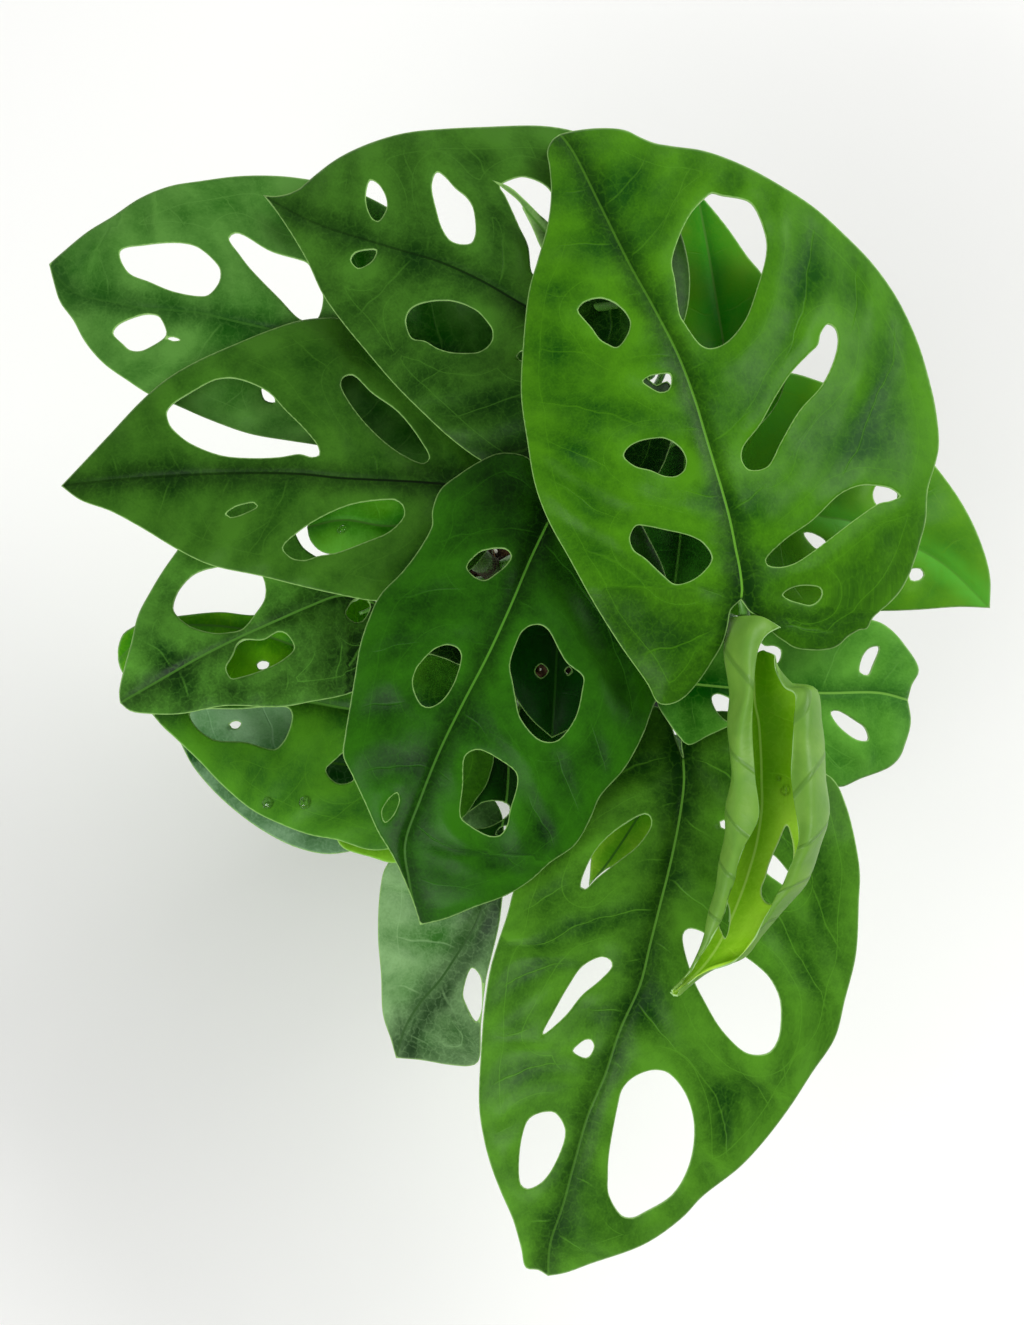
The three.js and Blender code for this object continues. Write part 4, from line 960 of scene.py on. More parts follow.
class Shape:
    """Arrays of one object: places in mm, faces, surfaces, corner maps, rim distances."""

    def __init__(self):
        self.places, self.edge = [], []
        self.faces, self.surface, self.veins, self.blade = [], [], [], []
        self.count = 0

    def add_places(self, places, edge=None):
        """Adds points and returns the number of the first."""
        self.places.append(places)
        self.edge.append(np.full(len(places), FAR_FROM_RIM) if edge is None else edge)
        self.count += len(places)
        return self.count - len(places)

    def add_faces(self, faces, surface, veins=None, blade=None):
        corners = sum(len(face) for face in faces)
        self.faces += [tuple(int(i) for i in face) for face in faces]
        self.surface += [surface] * len(faces)
        self.veins.append(np.zeros((corners, 2)) if veins is None else veins.reshape(-1, 2))
        self.blade.append(np.zeros((corners, 2)) if blade is None else blade.reshape(-1, 2))

    def add_body(self, places, faces, surface, edge=None):
        """Adds a closed body whose faces count from its own first point."""
        first = self.add_places(places, edge)
        self.add_faces([[i + first for i in face] for face in faces], surface)

    def build(self, name, materials):
        made = mesh_object(name, (np.vstack(self.places) * MM).tolist(), self.faces)
        mesh = made.data
        for material in materials:
            mesh.materials.append(material)
        mesh.polygons.foreach_set("material_index", self.surface)
        mesh.polygons.foreach_set("use_smooth", [kind != MARGIN for kind in self.surface])
        for title, parts in (("veins", self.veins), ("blade", self.blade)):
            layer = mesh.uv_layers.new(name=title)
            layer.uv.foreach_set("vector", np.vstack(parts).astype(np.float32).ravel())
        rim = mesh.attributes.new("edge", "FLOAT", "POINT")
        rim.data.foreach_set("value", np.concatenate(self.edge).astype(np.float32))
        return made


def normals_of(places, triangles):
    """Unit normals at the points of a triangle mesh."""
    a, b, c = (places[triangles[:, i]] for i in range(3))
    flat = np.cross(b - a, c - a)
    total = np.zeros_like(places)
    for i in range(3):
        np.add.at(total, triangles[:, i], flat)
    return total / np.maximum(np.linalg.norm(total, axis=1), 1e-12)[:, None]


def close_blade(shape, top, triangles, border, thickness, veins, blade, edge):
    """Adds the upper side, the underside and the margin of one blade to a shape.
    veins and blade hold a pair of numbers for each corner of each triangle."""
    below = top - normals_of(top, triangles) * thickness[:, None]
    flip = [0, 2, 1]
    upper = shape.add_places(top, edge)
    under = shape.add_places(below, edge)
    shape.add_faces(triangles + upper, UPPER, veins, blade)
    shape.add_faces(triangles[:, flip] + under, UNDER, veins[:, flip], blade[:, flip])
    a, b = border[:, 0], border[:, 1]
    shape.add_faces(np.column_stack([b + upper, a + upper, a + under, b + under]), MARGIN)


print("surfaces of a leaf: 0 upper, 1 under, 2 margin, 3 stalk")

# %% [markdown]
# ## Stems and stalks as paths
# A stem is a smooth path from the potting mix to its last node; a stalk leaves its stem
# at a node, as a sheath that clasps it, swings out and runs to the blade, where it has
# a slightly thicker joint just below the blade. Both are skinned as closed tubes.

# %% Paths and tubes
STEMS = {
    "stem_left": [(-24, -2), (-26, -4, 108), (-33, -10, 136), (-39, -14, 160)],
    "stem_front": [(2, -26), (2, -29, 106), (5, -38, 130), (8, -46, 152)],
    "stem_right": [(27, -10), (30, -14, 108), (37, -30, 140), (45, -48, 172)],
    "stem_back": [(4, 22), (4, 24, 108), (8, 26, 140), (14, 26, 172)],
}
FIT = 0.35  # mm of air at every seat
STEM_BOTTOM = 68.35
STEM_STRAIGHT = (75, 86)  # heights between which a stem stands upright in the mix
STEM_RADIUS, NODE_RADIUS, NODE_WIDTH, ROOT_RADIUS = 3.2, 4.3, 1.7, 1.15
STEM_SIDES, STALK_SIDES, ROOT_SIDES = 24, 12, 10


def stem_path(name):
    foot, *bends = STEMS[name]
    start = [(*foot, height) for height in (STEM_BOTTOM, *STEM_STRAIGHT)]
    return smooth(start + bends, 1.5)


def walk(path):
    """The length from the start of a path to each of its points."""
    return np.concatenate([[0], np.cumsum(np.linalg.norm(np.diff(path, axis=0), axis=1))])


def at_share(path, share):
    """The place and direction at a share of a path's length."""
    run = walk(path)
    at = share * run[-1]
    place = np.array([np.interp(at, run, path[:, i]) for i in range(3)])
    i = min(np.searchsorted(run, at), len(path) - 1)
    return place, unit(path[i] - path[i - 1])


def tube(path, radii, sides):
    """A closed tube along a path: places and faces."""
    path = np.asarray(path, float)
    tangents = np.gradient(path, axis=0)
    tangents = tangents / np.linalg.norm(tangents, axis=1)[:, None]
    steep = abs(tangents[0][2]) >= 0.9
    across = unit(np.cross(tangents[0], (1, 0, 0) if steep else (0.3, 0.2, 0.9)))
    angles = np.arange(sides) / sides * 2 * math.pi
    places = []
    for place, tangent, radius in zip(path, tangents, radii):
        across = unit(across - tangent * (across @ tangent))
        other = np.cross(tangent, across)
        ring = np.cos(angles)[:, None] * across + np.sin(angles)[:, None] * other
        places.append(place + radius * ring)
    faces, j = [], np.arange(sides)
    for i in range(len(path) - 1):
        a, b = i * sides, (i + 1) * sides
        k = (j + 1) % sides
        faces += np.column_stack([a + j, a + k, b + k, b + j]).tolist()
    faces.append(list(range(sides - 1, -1, -1)))
    faces.append([(len(path) - 1) * sides + i for i in range(sides)])
    return np.vstack(places), faces


def node_frame(stalk):
    """A node's centre, the stem's direction there and the side its leaf stands on."""
    centre, along = at_share(stem_path(stalk["stem"]), stalk["node"])
    out = np.array(stalk["via"][-1], float) - centre
    return centre, along, unit(out - along * (out @ along))


def stalk_path(stalk, inside_end, joint):
    """From inside the blade to the heel at the stem, at the same places as the solid."""
    centre, _, out = node_frame(stalk)
    foot = centre + out * (NODE_RADIUS + FIT)
    neck = joint + unit(joint - inside_end) * 4 + (0, 0, -4)
    points = [inside_end, joint, neck, *stalk["via"], foot + out * 3, foot - out * 1.2]
    return smooth(points, 1.4)


def stalk_radii(path, radius):
    """Thin at the blade, a short thicker joint below it, even, then the sheath."""
    run = walk(path)
    left = run[-1] - run
    swell = 0.38 + 0.62 * ramp(run, 2, 14) + 0.16 * np.exp(-(((run - 18) / 5) ** 2))
    sheath = 1 + 0.55 * ramp(-left, -22, -4)
    return radius * swell * sheath * (1 - 0.35 * ramp(-left, -4, 0))


def add_stalk(shape, stalk, inside_end, joint):
    """Adds the stalk that carries a blade at its joint, down to its node."""
    path = stalk_path(stalk, inside_end, joint)
    places, faces = tube(path, stalk_radii(path, stalk["radius"]), STALK_SIDES)
    shape.add_body(places, faces, STALK)


print("points of the left stem's path:", len(stem_path("stem_left")))

# %% [markdown]
# ## The upper side of a leaf
# A monstera leaf is a deep, slightly uneven green with a thin waxy surface: it reflects
# the room weakly, in broad soft patches (roughness about 0.3 to 0.45, and a low specular
# level, because the wax scatters light). Light and shade are painted into its colour as
# well: painted light makes it lighter and yellower between the side veins, where the
# blade bulges up, and towards the margins, and painted shade darkens the gutter along
# the midrib, the blade near the stalk, one side of each side vein and, on some leaves,
# one half. Soft patches of other tone lie about at random. The side veins are fine
# grooves, a faint net of finer veins lies between them, and all margins, also those of
# the holes, end in a thin pale line. All of that is drawn from the two maps of the
# blade, in millimetres: the lines, then how much painted light and painted shade a
# place gets, and last the colours, one layer over the other.

# %% Lines on the upper side
def blade_maps(tree):
    """The vein map's two numbers, the blade map and its two, and the rim distance."""
    phase_across = add(tree, "UVMap", uv_map="veins")
    place = add(tree, "UVMap", uv_map="blade")
    phase, across = add(tree, "SeparateXYZ", [phase_across]).outputs[0:2]
    along, aside = add(tree, "SeparateXYZ", [place]).outputs[0:2]
    edge = add(tree, "Attribute", attribute_name="edge").outputs["Fac"]
    return phase, across, place, along, aside, edge


def drawn_from(tree, term):
    """A term is a source, or a soft step of it: (source, low, high), with the values at
    low and high behind them where they aren't 0 and 1."""
    return add(tree, inputs=term, **SOFT_STEP) if isinstance(term, tuple) else term


def product(tree, first, *factors):
    """All terms multiplied."""
    made = drawn_from(tree, first)
    for factor in factors:
        made = add(tree, inputs=(made, drawn_from(tree, factor), 0.0), **TIMES_PLUS)
    return made


def weighted(tree, start, *terms):
    """start plus each term times its weight."""
    for term, weight in terms:
        start = add(tree, inputs=(drawn_from(tree, term), weight, start), **TIMES_PLUS)
    return start


def layered(tree, colour, *layers):
    """Colours over one another; each layer is the share that it covers and its colour."""
    for share, tone in layers:
        colour = add(tree, inputs={0: drawn_from(tree, share), 6: colour, 7: tone}, **MIX_TONES)
    return colour


print("a soft step is a", SOFT_STEP["kind"], "node, a layer a", MIX_TONES["kind"], "node")


# %% Leaf material, upper side
def leaf_upper(name, tones, rib="#4c7f2c", rim="#94c06c", gloss=0.34, lines=0.4, shaded=0):
    """tones: dark, middle and light green; lines: how clearly the side veins show;
    shaded: the half that is darkened as painted shade, left of the midrib below 0 or right
    of it above 0. The smaller the number, the softer the change at the midrib."""
    dark, middle, light = (srgb(tone) for tone in tones)
    material, tree, shader = new_material(name, tones[1], gloss, Specular_IOR_Level=0.07)
    phase, across, place, along, aside, edge = blade_maps(tree)
    # The map is in mm, so the lumps are about 11, 31, 3 and 0.8 mm wide.
    wobble, patches, small, grain = (
        add(tree, "TexNoise", [place], Scale=scale, Detail=detail)
        for scale, detail in ((0.09, 1.0), (0.032, 2.0), (0.3, 4.0), (1.3, 4.0)))
    shifted = weighted(tree, phase, (wobble, 0.22))
    run = [weighted(tree, 0.0, (shifted, 5.0)), weighted(tree, 0.0, (across, 0.06))]
    streaks = add(tree, "TexNoise", [add(tree, "CombineXYZ", run)], Scale=1.0, Detail=4.0)
    to_vein = add(tree, "Math", (shifted, 0.5), operation="PINGPONG")
    vein = product(tree, (to_vein, 0.004, 0.024, 1.0, 0.0), (across, 0.5, 5.0), (edge, 3.0, 8.0))
    arch_at = weighted(tree, 3.4, (patches, 6.0))
    arch = add(tree, "Math", (edge, arch_at, 0.16), operation="COMPARE")
    arch = product(tree, arch, (across, 11.0, 17.0))
    past_arch = add(tree, "Math", (arch_at, edge), operation="SUBTRACT")
    past_vein = add(tree, "Math", (shifted,), operation="FRACT")
    # Painted shade on one side of each side vein, where the quilted blade slopes away from the
    # light.
    shade_beside_vein = product(tree, (past_vein, 0.0, 0.42, 1.0, 0.0), (across, 2.0, 12.0), (edge, 0.5, 5.0))
    from_rib = weighted(tree, -3.5, (across, 1.0), (wobble, 7.0))
    from_rim = weighted(tree, -4.5, (edge, 1.0), (wobble, 9.0))
    outward = drawn_from(tree, (from_rim, 0.0, 17.0, 1.0, 0.0))
    # The half that gets painted shade, by its side of the midrib.
    shaded_side = weighted(tree, 0.0, (aside, shaded))
    # glow: random patches, plus painted light between the side veins and towards the margins.
    glow = weighted(tree, -1.1, (patches, 1.3), ((to_vein, 0.06, 0.45), 0.25), (streaks, 0.25),
                    (small, 0.5), (grain, 0.4), (outward, 0.5))
    # shade: painted shade along the midrib, near the stalk, beside each side vein and over the
    # shaded half, less random patches; the strip outside the collecting vein is a little duller.
    shade = weighted(tree, 0.44, (patches, -0.3), (streaks, -0.08), (small, -0.22), (grain, -0.2),
                     ((from_rib, 0.0, 10.0, 1.0, 0.0), 0.6), ((along, -8.0, 28.0, 1.0, 0.0), 0.45),
                     (shade_beside_vein, 0.08), ((past_arch, 0.0, 1.5), 0.1), (outward, -0.15),
                     ((shaded_side, 0.0, 5.0), 0.45))
    glow, shade = (add(tree, "Math", (raw, 0.0), use_clamp=True) for raw in (glow, shade))
    bend = add(tree, "TexNoise", [place], Scale=0.45, Detail=3.0)
    bent = add(tree, "VectorMath", (bend.outputs["Color"], (3, 3, 0), place),
               operation="MULTIPLY_ADD")
    net = add(tree, "TexVoronoi", [bent], feature="DISTANCE_TO_EDGE", Scale=0.3)
    net = product(tree, (net, 0.0, 0.1, 1.0, 0.0), weighted(tree, 0.0, (grain, 0.3)))
    drawn = add(tree, "Math", (vein, arch), operation="MAXIMUM")
    drawn = product(tree, drawn, weighted(tree, lines * 0.2, (patches, lines * 1.6)))
    in_rib = product(tree, (across, 0.22, 0.5, 1.0, 0.0), (along, 30.0, 120.0, 1.0, 0.35),
                     (along, 0.0, 1.5))
    flesh = layered(tree, middle, (glow, light), ((shade, -0.04, 0.98), dark), (net, light),
                    (drawn, light), (in_rib, srgb(rib)), ((edge, 0.12, 0.5, 0.8, 0.0), srgb(rim)))
    rough = add(tree, "MapRange", (wobble, 0.3, 0.7, gloss - 0.04, gloss + 0.1))
    high = weighted(tree, 0.0, (small, 1.2), (grain, 0.5), (arch, -1.0), (vein, -1.4))
    bump = add(tree, "Bump", {"Height": high}, Strength=0.32, Distance=0.0002)
    cover(shader, Base_Color=flesh, Roughness=rough, Normal=bump)
    return material


print("leaf_upper makes one material for each leaf")

# %% [markdown]
# ## Underside, margin and stalk
# The underside of an aroid leaf has no wax: it is paler, greyer and more matt, with the
# side veins standing out as fine ribs. The margin is a thin pale, slightly horny band.
# Stalks are smooth and juicy, mid green, with fine lengthwise streaks and pale specks.

# %% Leaf materials, the other surfaces
def leaf_under(name, pale, deep, rough=0.55, vein_tone="#a9c986"):
    """Raised side veins and midrib over patches 8 mm wide and a net of 2.5 mm meshes."""
    material, tree, shader = new_material(name, pale, rough, Specular_IOR_Level=0.3)
    veins = add(tree, "SeparateXYZ", [add(tree, "UVMap", uv_map="veins")])
    place = add(tree, "UVMap", uv_map="blade")
    to_vein = add(tree, "Math", (veins.outputs[0], 0.5), operation="PINGPONG")
    vein = drawn_from(tree, (to_vein, 0.015, 0.06, 1.0, 0.0))
    rib = add(tree, "MapRange", (veins.outputs[1], 0.8, 1.6, 1.0, 0.0))
    raised = add(tree, "Math", (vein, rib), operation="MAXIMUM")
    ribbed = add(tree, "Math", (raised, 0.6), operation="MULTIPLY")
    patches = add(tree, "TexNoise", [place], Scale=0.12, Detail=4.0)
    flesh = layered(tree, srgb(deep), (patches, srgb(pale)), (ribbed, srgb(vein_tone)))
    net = add(tree, "TexVoronoi", [place], feature="DISTANCE_TO_EDGE", Scale=0.4)
    high = add(tree, inputs=(raised, 3.0, net), **TIMES_PLUS)
    bump = add(tree, "Bump", {"Height": high}, Strength=0.4, Distance=0.0002)
    cover(shader, Base_Color=flesh, Normal=bump)
    return material


def stalk_skin(name, green, pale):
    """Streaks 1 mm wide and 17 mm long, and specks 1 mm apart."""
    material, tree, shader = new_material(name, green, 0.42)
    place = add(tree, "TexCoord").outputs["Object"]
    stretch = add(tree, "Mapping", [place], Scale=(900, 900, 60))
    streaks = add(tree, "TexNoise", [stretch], Scale=1.0, Detail=3.0)
    specks = add(tree, "TexVoronoi", [place], Scale=900.0)
    speck = add(tree, "MapRange", (specks.outputs["Distance"], 0.12, 0.22, 0.6, 0.0))
    skin = layered(tree, srgb(green), (streaks, srgb(pale)), (speck, srgb("#9cb56c")))
    bump = add(tree, "Bump", {"Height": streaks}, Strength=0.3, Distance=0.0002)
    cover(shader, Base_Color=skin, Normal=bump)
    return material


under_side = leaf_under("leaf_underside", "#7ea35c", "#5f8a44")
leaf_margin, _, _ = new_material("pale_leaf_margin", "#9cc57c", 0.45)
stalk_green = stalk_skin("green_leaf_stalk", "#3f7a22", "#5e9636")
print("leaf materials:", under_side.name, leaf_margin.name, stalk_green.name)

# %% [markdown]
# ## Grow the leaves
# Each drawing now becomes one leaf: blade and stalk in a single mesh, standing for its
# solid. The blade follows the solid's bend exactly and adds only its relief to it.

# %% One leaf from its drawing
STALK_REACH = 7.0  # mm the stalk runs on under the blade


def hole_places(holes, midrib, side):
    """Where on the midrib, in mm, the holes of one side belong."""
    found = []
    for hole in holes:
        s, t = midrib_frame(np.array(hole, float).mean(axis=0)[None], midrib)
        if np.sign(t[0]) == side:
            found.append(vein_place(s, t)[0])
    return np.array(sorted(found))


def grow_leaf(name, leaf, seed, materials):
    base, tip = leaf["midrib"][0], leaf["midrib"][-1]
    corners = (0, leaf["outline"].index(base))
    rims, fine = (
        [smooth_rim(leaf["outline"], corners, rim_step)]
        + [smooth(hole, hole_step, closed=True) for hole in leaf["holes"]]
        for rim_step, hole_step in ((RIM_STEP, HOLE_STEP), (FINE_STEP, FINE_STEP)))
    midrib = smooth(leaf["midrib"], RIB_STEP)
    spots, triangles, border = fill_blade(rims, midrib)
    s, t = midrib_frame(spots, midrib)
    edge = distance_to(spots, np.vstack(fine)) * SHEET_UNIT
    p = vein_place(s, t)
    sides = {side: vein_phase(p, hole_places(leaf["holes"], midrib, side)) for side in (-1, 1)}
    phase = np.where(t > 0, sides[1], sides[-1])
    height = bend_height(spots, base, tip, leaf["lift"])
    height = height + relief_height(spots, s, t, phase, edge, seed)
    top = on_sheet(spots[:, 0], spots[:, 1], height)
    keel = KEEL_HEIGHT * np.exp(-((t / KEEL_WIDTH) ** 2)) * ramp(s, -1, 3)
    keel = keel * (1 - 0.8 * ramp(s, 0, s.max()))
    on_right = (t[triangles].mean(axis=1) > 0)[:, None]
    corner_phase = np.where(on_right, sides[1][triangles], sides[-1][triangles])
    veins = np.stack([corner_phase, np.abs(t)[triangles]], axis=2)
    blade = np.stack([s[triangles], t[triangles]], axis=2)
    shape = Shape()
    close_blade(shape, top, triangles, border, BLADE_THICKNESS + keel, veins, blade, edge)
    inner = np.array(base) + unit(np.array(tip, float) - base) * STALK_REACH / SHEET_UNIT
    level = bend_height(np.array([inner, base], float), base, tip, leaf["lift"])
    inside_end, joint = on_sheet(*inner, level[0] - 2.6), on_sheet(*base, level[1] - 2.7)
    add_stalk(shape, leaf["stalk"], inside_end, joint)
    made = shape.build("grown_" + name, materials)
    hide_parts(name)
    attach(made, "root")
    return made


print("leaf_a stands on", LEAVES["leaf_a"]["stalk"]["stem"])

# %% Grow all flat leaves
face_count = 0
for seed, (name, leaf) in enumerate(LEAVES.items()):
    look = {key: leaf[key] for key in ("tones", "rib", "lines", "shaded") if key in leaf}
    upper = leaf_upper(name + "_upper_side", **look)
    grown = grow_leaf(name, leaf, seed * 3.7, [upper, under_side, leaf_margin, stalk_green])
    face_count += len(grown.data.polygons)
print("faces of the flat leaves:", face_count)

# %% [markdown]
# ## The young leaf
# The newest leaf is still half rolled: both margins curl inward over the trough and
# show their pale underside. A flat drawing can't describe that, so this blade is a
# grid of places: each row crosses the leaf from one free margin over a crest and an
# outer side down to the trough and the midrib, and up again. A smooth surface through
# the grid is filled like the other blades; its holes are found by searching the inner
# side of the surface for the places that lie under a loop of the sheet.

# %% The grid of the young leaf
YOUNG_ROWS = [
    [(781, 627, 236.5), (758, 615.5, 236), (730, 619, 230), (741, 640, 223), (753, 654, 221),
     (760, 651, 222), (766, 651, 224), (774, 655, 227), (775, 661, 228)],
    [(766, 636, 236.5), (748, 632, 237.5), (727, 636, 230), (741, 654, 222.5), (753, 665, 220.5),
     (765, 667, 221), (772, 668, 223), (778, 669, 226), (776, 672, 228)],
    [(757, 655, 236), (744, 655, 237.5), (724.5, 654, 229), (740, 671, 221.5), (754, 680, 219.2),
     (768, 683, 220), (783, 682, 223.5), (793, 685, 228), (784, 687, 231)],
    [(752.5, 689, 235), (746, 690, 237), (728.5, 692, 228.5), (742, 697, 220), (755, 702, 218),
     (783, 704, 218.5), (815, 690, 226.5), (808, 691, 233), (795, 695, 234)],
    [(752, 718, 234.5), (739, 722, 236.5), (728, 718, 228), (743, 720, 219), (759, 722, 217),
     (788, 722, 218), (822, 724, 226.5), (810, 722, 234.5), (794, 720, 234)],
    [(753, 748, 234), (736, 750, 236), (731, 750, 228), (745, 750, 218), (761, 750, 216),
     (790, 750, 217.5), (823, 750, 226), (809, 748, 235), (792, 748, 234)],
    [(755, 780, 234), (735, 780, 235.5), (731, 778, 228), (746, 778, 217.5), (762, 780, 215.5),
     (790, 780, 217), (826, 778, 226), (811, 776, 236), (791, 776, 234.5)],
    [(759, 816, 234), (735, 812, 235), (727, 808, 227.5), (745, 808, 217), (762, 808, 215),
     (789, 812, 217), (828, 812, 226), (813, 810, 236), (796, 812, 234.5)],
    [(745, 846, 233), (733, 844, 234), (724, 838, 226.5), (738, 840, 217), (757, 842, 214.5),
     (786, 845, 217), (820, 846, 226), (809, 845, 236), (798, 845, 234.5)],
    [(737, 868, 232), (728, 866, 232.5), (719, 864, 226), (731, 866, 216.5), (750, 868, 214),
     (778, 870, 216.5), (811, 871, 225.5), (800, 868, 234), (788, 870, 232.5)],
    [(730, 892, 230.5), (722, 890, 230.5), (714, 890, 225), (725, 890, 216), (742, 892, 214),
     (768, 894, 216), (801, 891, 224.5), (791, 889, 231.5), (779, 893, 230)],
    [(724, 915, 228), (716, 914, 228), (709, 914, 223), (718, 915, 215.5), (732, 917, 213.5),
     (756, 918, 215.5), (779, 914, 223), (774, 912, 228), (765, 917, 227.5)],
    [(711, 940, 224.5), (706, 939, 224), (702.5, 941, 220.5), (709, 943, 215), (719, 944, 213),
     (739, 944, 215), (758, 942, 219.5), (754, 940, 222.5), (750, 945, 223)],
    [(700, 957, 220), (698, 956, 219.5), (697, 958, 217.5), (701, 960, 213.5), (707, 962, 212),
     (722, 961, 213.5), (741, 958, 217), (738, 957, 219), (735, 960, 219.5)],
    [(690, 973, 216), (689, 972, 215.8), (688, 973, 214.5), (690, 975, 212), (693, 977, 211),
     (700, 976, 212), (709, 971, 215), (708, 970, 216), (706, 972, 216)],
    [(676, 988, 212), (674.5, 988.5, 212), (672.5, 991, 211.5), (673, 993, 210.5),
     (672.5, 994, 210), (675, 994.5, 210.5), (677, 994, 211.2), (678.5, 992, 211.8),
     (678, 990, 212)],
]
YOUNG_HOLES = [
    [(787, 826), (775, 850), (768, 866), (765, 877), (761, 888), (762, 897), (770, 904),
     (776, 902), (783, 885), (789, 871), (793, 858), (792, 838)],
    [(726, 902), (730, 915), (736, 939), (729, 940), (722, 933), (719, 922), (721, 912)],
]
YOUNG_HOLE_COLUMNS = [(3.6, 6.6), (1.5, 4.2)]  # between which each hole is looked for
YOUNG_COLUMN, YOUNG_ROW = 30.0, 25.0  # the grid's spacing in sheet units
YOUNG_STALK_ENDS = [(757, 676, 217.7), (753, 652, 218.7)]
YOUNG_STALK = stalk_on("stem_right", 0.97, 1.5, (50, -57, 196))
# The young leaf's tones are raised as painted light, for the light that shines through its rolled
# blade into the trough.
YOUNG_TONES_WITH_PAINTED_LIGHT = ("#74ae10", "#8cc41c", "#acda42")
young_grid = np.array([[on_sheet(*place) for place in row] for row in YOUNG_ROWS])
print("grid of the young leaf:", young_grid.shape)


# %% The surface through the grid
def cubic_weights(place, count):
    """Four neighbours and their Catmull-Rom weights for places between 0 and count-1."""
    first = np.clip(np.floor(place).astype(int), 0, count - 2)
    w = place - first
    near = np.stack([first - 1, first, first + 1, first + 2])
    weights = 0.5 * np.stack([-w + 2 * w**2 - w**3, 2 - 5 * w**2 + 3 * w**3,
                              w + 4 * w**2 - 3 * w**3, -(w**2) + w**3])
    return np.clip(near, 0, count - 1), weights


def on_grid(grid, row, column):
    """The smooth surface through a grid at fractional rows and columns."""
    rows, row_share = cubic_weights(row, grid.shape[0])
    columns, column_share = cubic_weights(column, grid.shape[1])
    total = np.zeros((len(row), grid.shape[2]))
    for a in range(4):
        for b in range(4):
            share = row_share[a] * column_share[b]
            total += grid[rows[a], columns[b]] * share[:, None]
    return total


SEARCH_STEP = 0.04  # of a grid cell


def find_on_grid(grid, loop, low, high):
    """Grid places (in sheet units) of a sheet loop, looked for between two columns."""
    along, over = np.arange(0, len(grid) - 1, SEARCH_STEP), np.arange(low, high, SEARCH_STEP)
    rows, columns = (side.ravel() for side in np.meshgrid(along, over, indexing="ij"))
    seen = on_grid(grid, rows, columns)
    best = [np.argmin(np.linalg.norm(seen - spot, axis=1)) for spot in loop]
    return np.column_stack([columns[best] * YOUNG_COLUMN, rows[best] * YOUNG_ROW])


print("middle of the young leaf (mm):", on_grid(young_grid, [7.5], [4.0])[0].round(1))


# %% Grow the young leaf
YOUNG_KEEL_HEIGHT = 1.2


def young_rims(wide, long):
    """The grid's border and the two holes, in the grid's own flat units."""
    sheet_grid = np.array(YOUNG_ROWS, float)[:, :, :2]
    rims = [smooth_rim([(0, 0), (wide, 0), (wide, long), (0, long)], (0, 1, 2, 3), RIM_STEP)]
    for hole, columns in zip(YOUNG_HOLES, YOUNG_HOLE_COLUMNS):
        rims.append(smooth(find_on_grid(sheet_grid, hole, *columns), HOLE_STEP, closed=True))
    return rims


def young_lengths():
    """s and t in mm at every place of the grid."""
    middle = young_grid.shape[1] // 2
    steps = np.linalg.norm(np.diff(young_grid, axis=1), axis=2)
    reach = np.concatenate([np.zeros((len(steps), 1)), np.cumsum(steps, axis=1)], axis=1)
    reach = reach - reach[:, [middle]]
    run = walk(young_grid[:, middle])
    return np.stack([np.broadcast_to(run[:, None], reach.shape), reach], axis=2)


def grow_young_leaf(name, materials):
    wide = (young_grid.shape[1] - 1) * YOUNG_COLUMN
    long = (young_grid.shape[0] - 1) * YOUNG_ROW
    rims = young_rims(wide, long)
    midrib = smooth([(wide / 2, 0), (wide / 2, long)], RIB_STEP)
    spots, triangles, border = fill_blade(rims, midrib)
    row, column = spots[:, 1] / YOUNG_ROW, spots[:, 0] / YOUNG_COLUMN
    s, t = on_grid(young_lengths(), row, column).T
    edge = distance_to(spots, np.vstack(rims)) * SHEET_UNIT
    phase = vein_place(s, t) / VEIN_SPACING
    top = on_grid(young_grid, row, column)
    quilt = (0.5 - 0.5 * np.cos(2 * math.pi * phase)) * 0.5 * ramp(np.abs(t), 1, 6)
    waves = slow_noise(spots, 9, 4.2) * 0.45 * np.exp(-edge / 3) + slow_noise(spots, 14, 8.1) * 0.3
    rise = (quilt + waves - 0.5 * np.exp(-((t / 1.0) ** 2))) * ramp(edge, -1, 1.5)
    top = top + normals_of(top, triangles) * rise[:, None]
    keel = YOUNG_KEEL_HEIGHT * np.exp(-((t / KEEL_WIDTH) ** 2)) * (1 - 0.8 * ramp(s, 0, s.max()))
    veins = np.stack([phase[triangles], np.abs(t)[triangles]], axis=2)
    blade = np.stack([s[triangles], t[triangles]], axis=2)
    shape = Shape()
    close_blade(shape, top, triangles, border, BLADE_THICKNESS + keel, veins, blade, edge)
    add_stalk(shape, YOUNG_STALK, *(on_sheet(*end) for end in YOUNG_STALK_ENDS))
    made = shape.build("grown_" + name, materials)
    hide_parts(name)
    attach(made, "root")
    return made


young_upper = leaf_upper("leaf_h_upper_side", YOUNG_TONES_WITH_PAINTED_LIGHT, rib="#c0e070", rim="#c0dc8a", lines=0.3)
young_under = leaf_under("young_leaf_underside", "#7aa63e", "#4a7f22", 0.45, vein_tone="#4e7a28")
young = grow_young_leaf("leaf_h", [young_upper, young_under, leaf_margin, stalk_green])
print("faces of the young leaf:", len(young.data.polygons))

# %% [markdown]
# ## Vine stems
# The stems are as thick as a pencil and smooth between their nodes. Every node is a
# ring with a corky scar. Behind the leaf stalk a dry, papery scale still clasps the
# stem: it once wrapped the young leaf. Beside it sit one or two brown stubs of aerial
# roots. One distance, to the nearest node, is kept at every point and steers the colour
# from green to cork, so the rings can't drift away from the form.

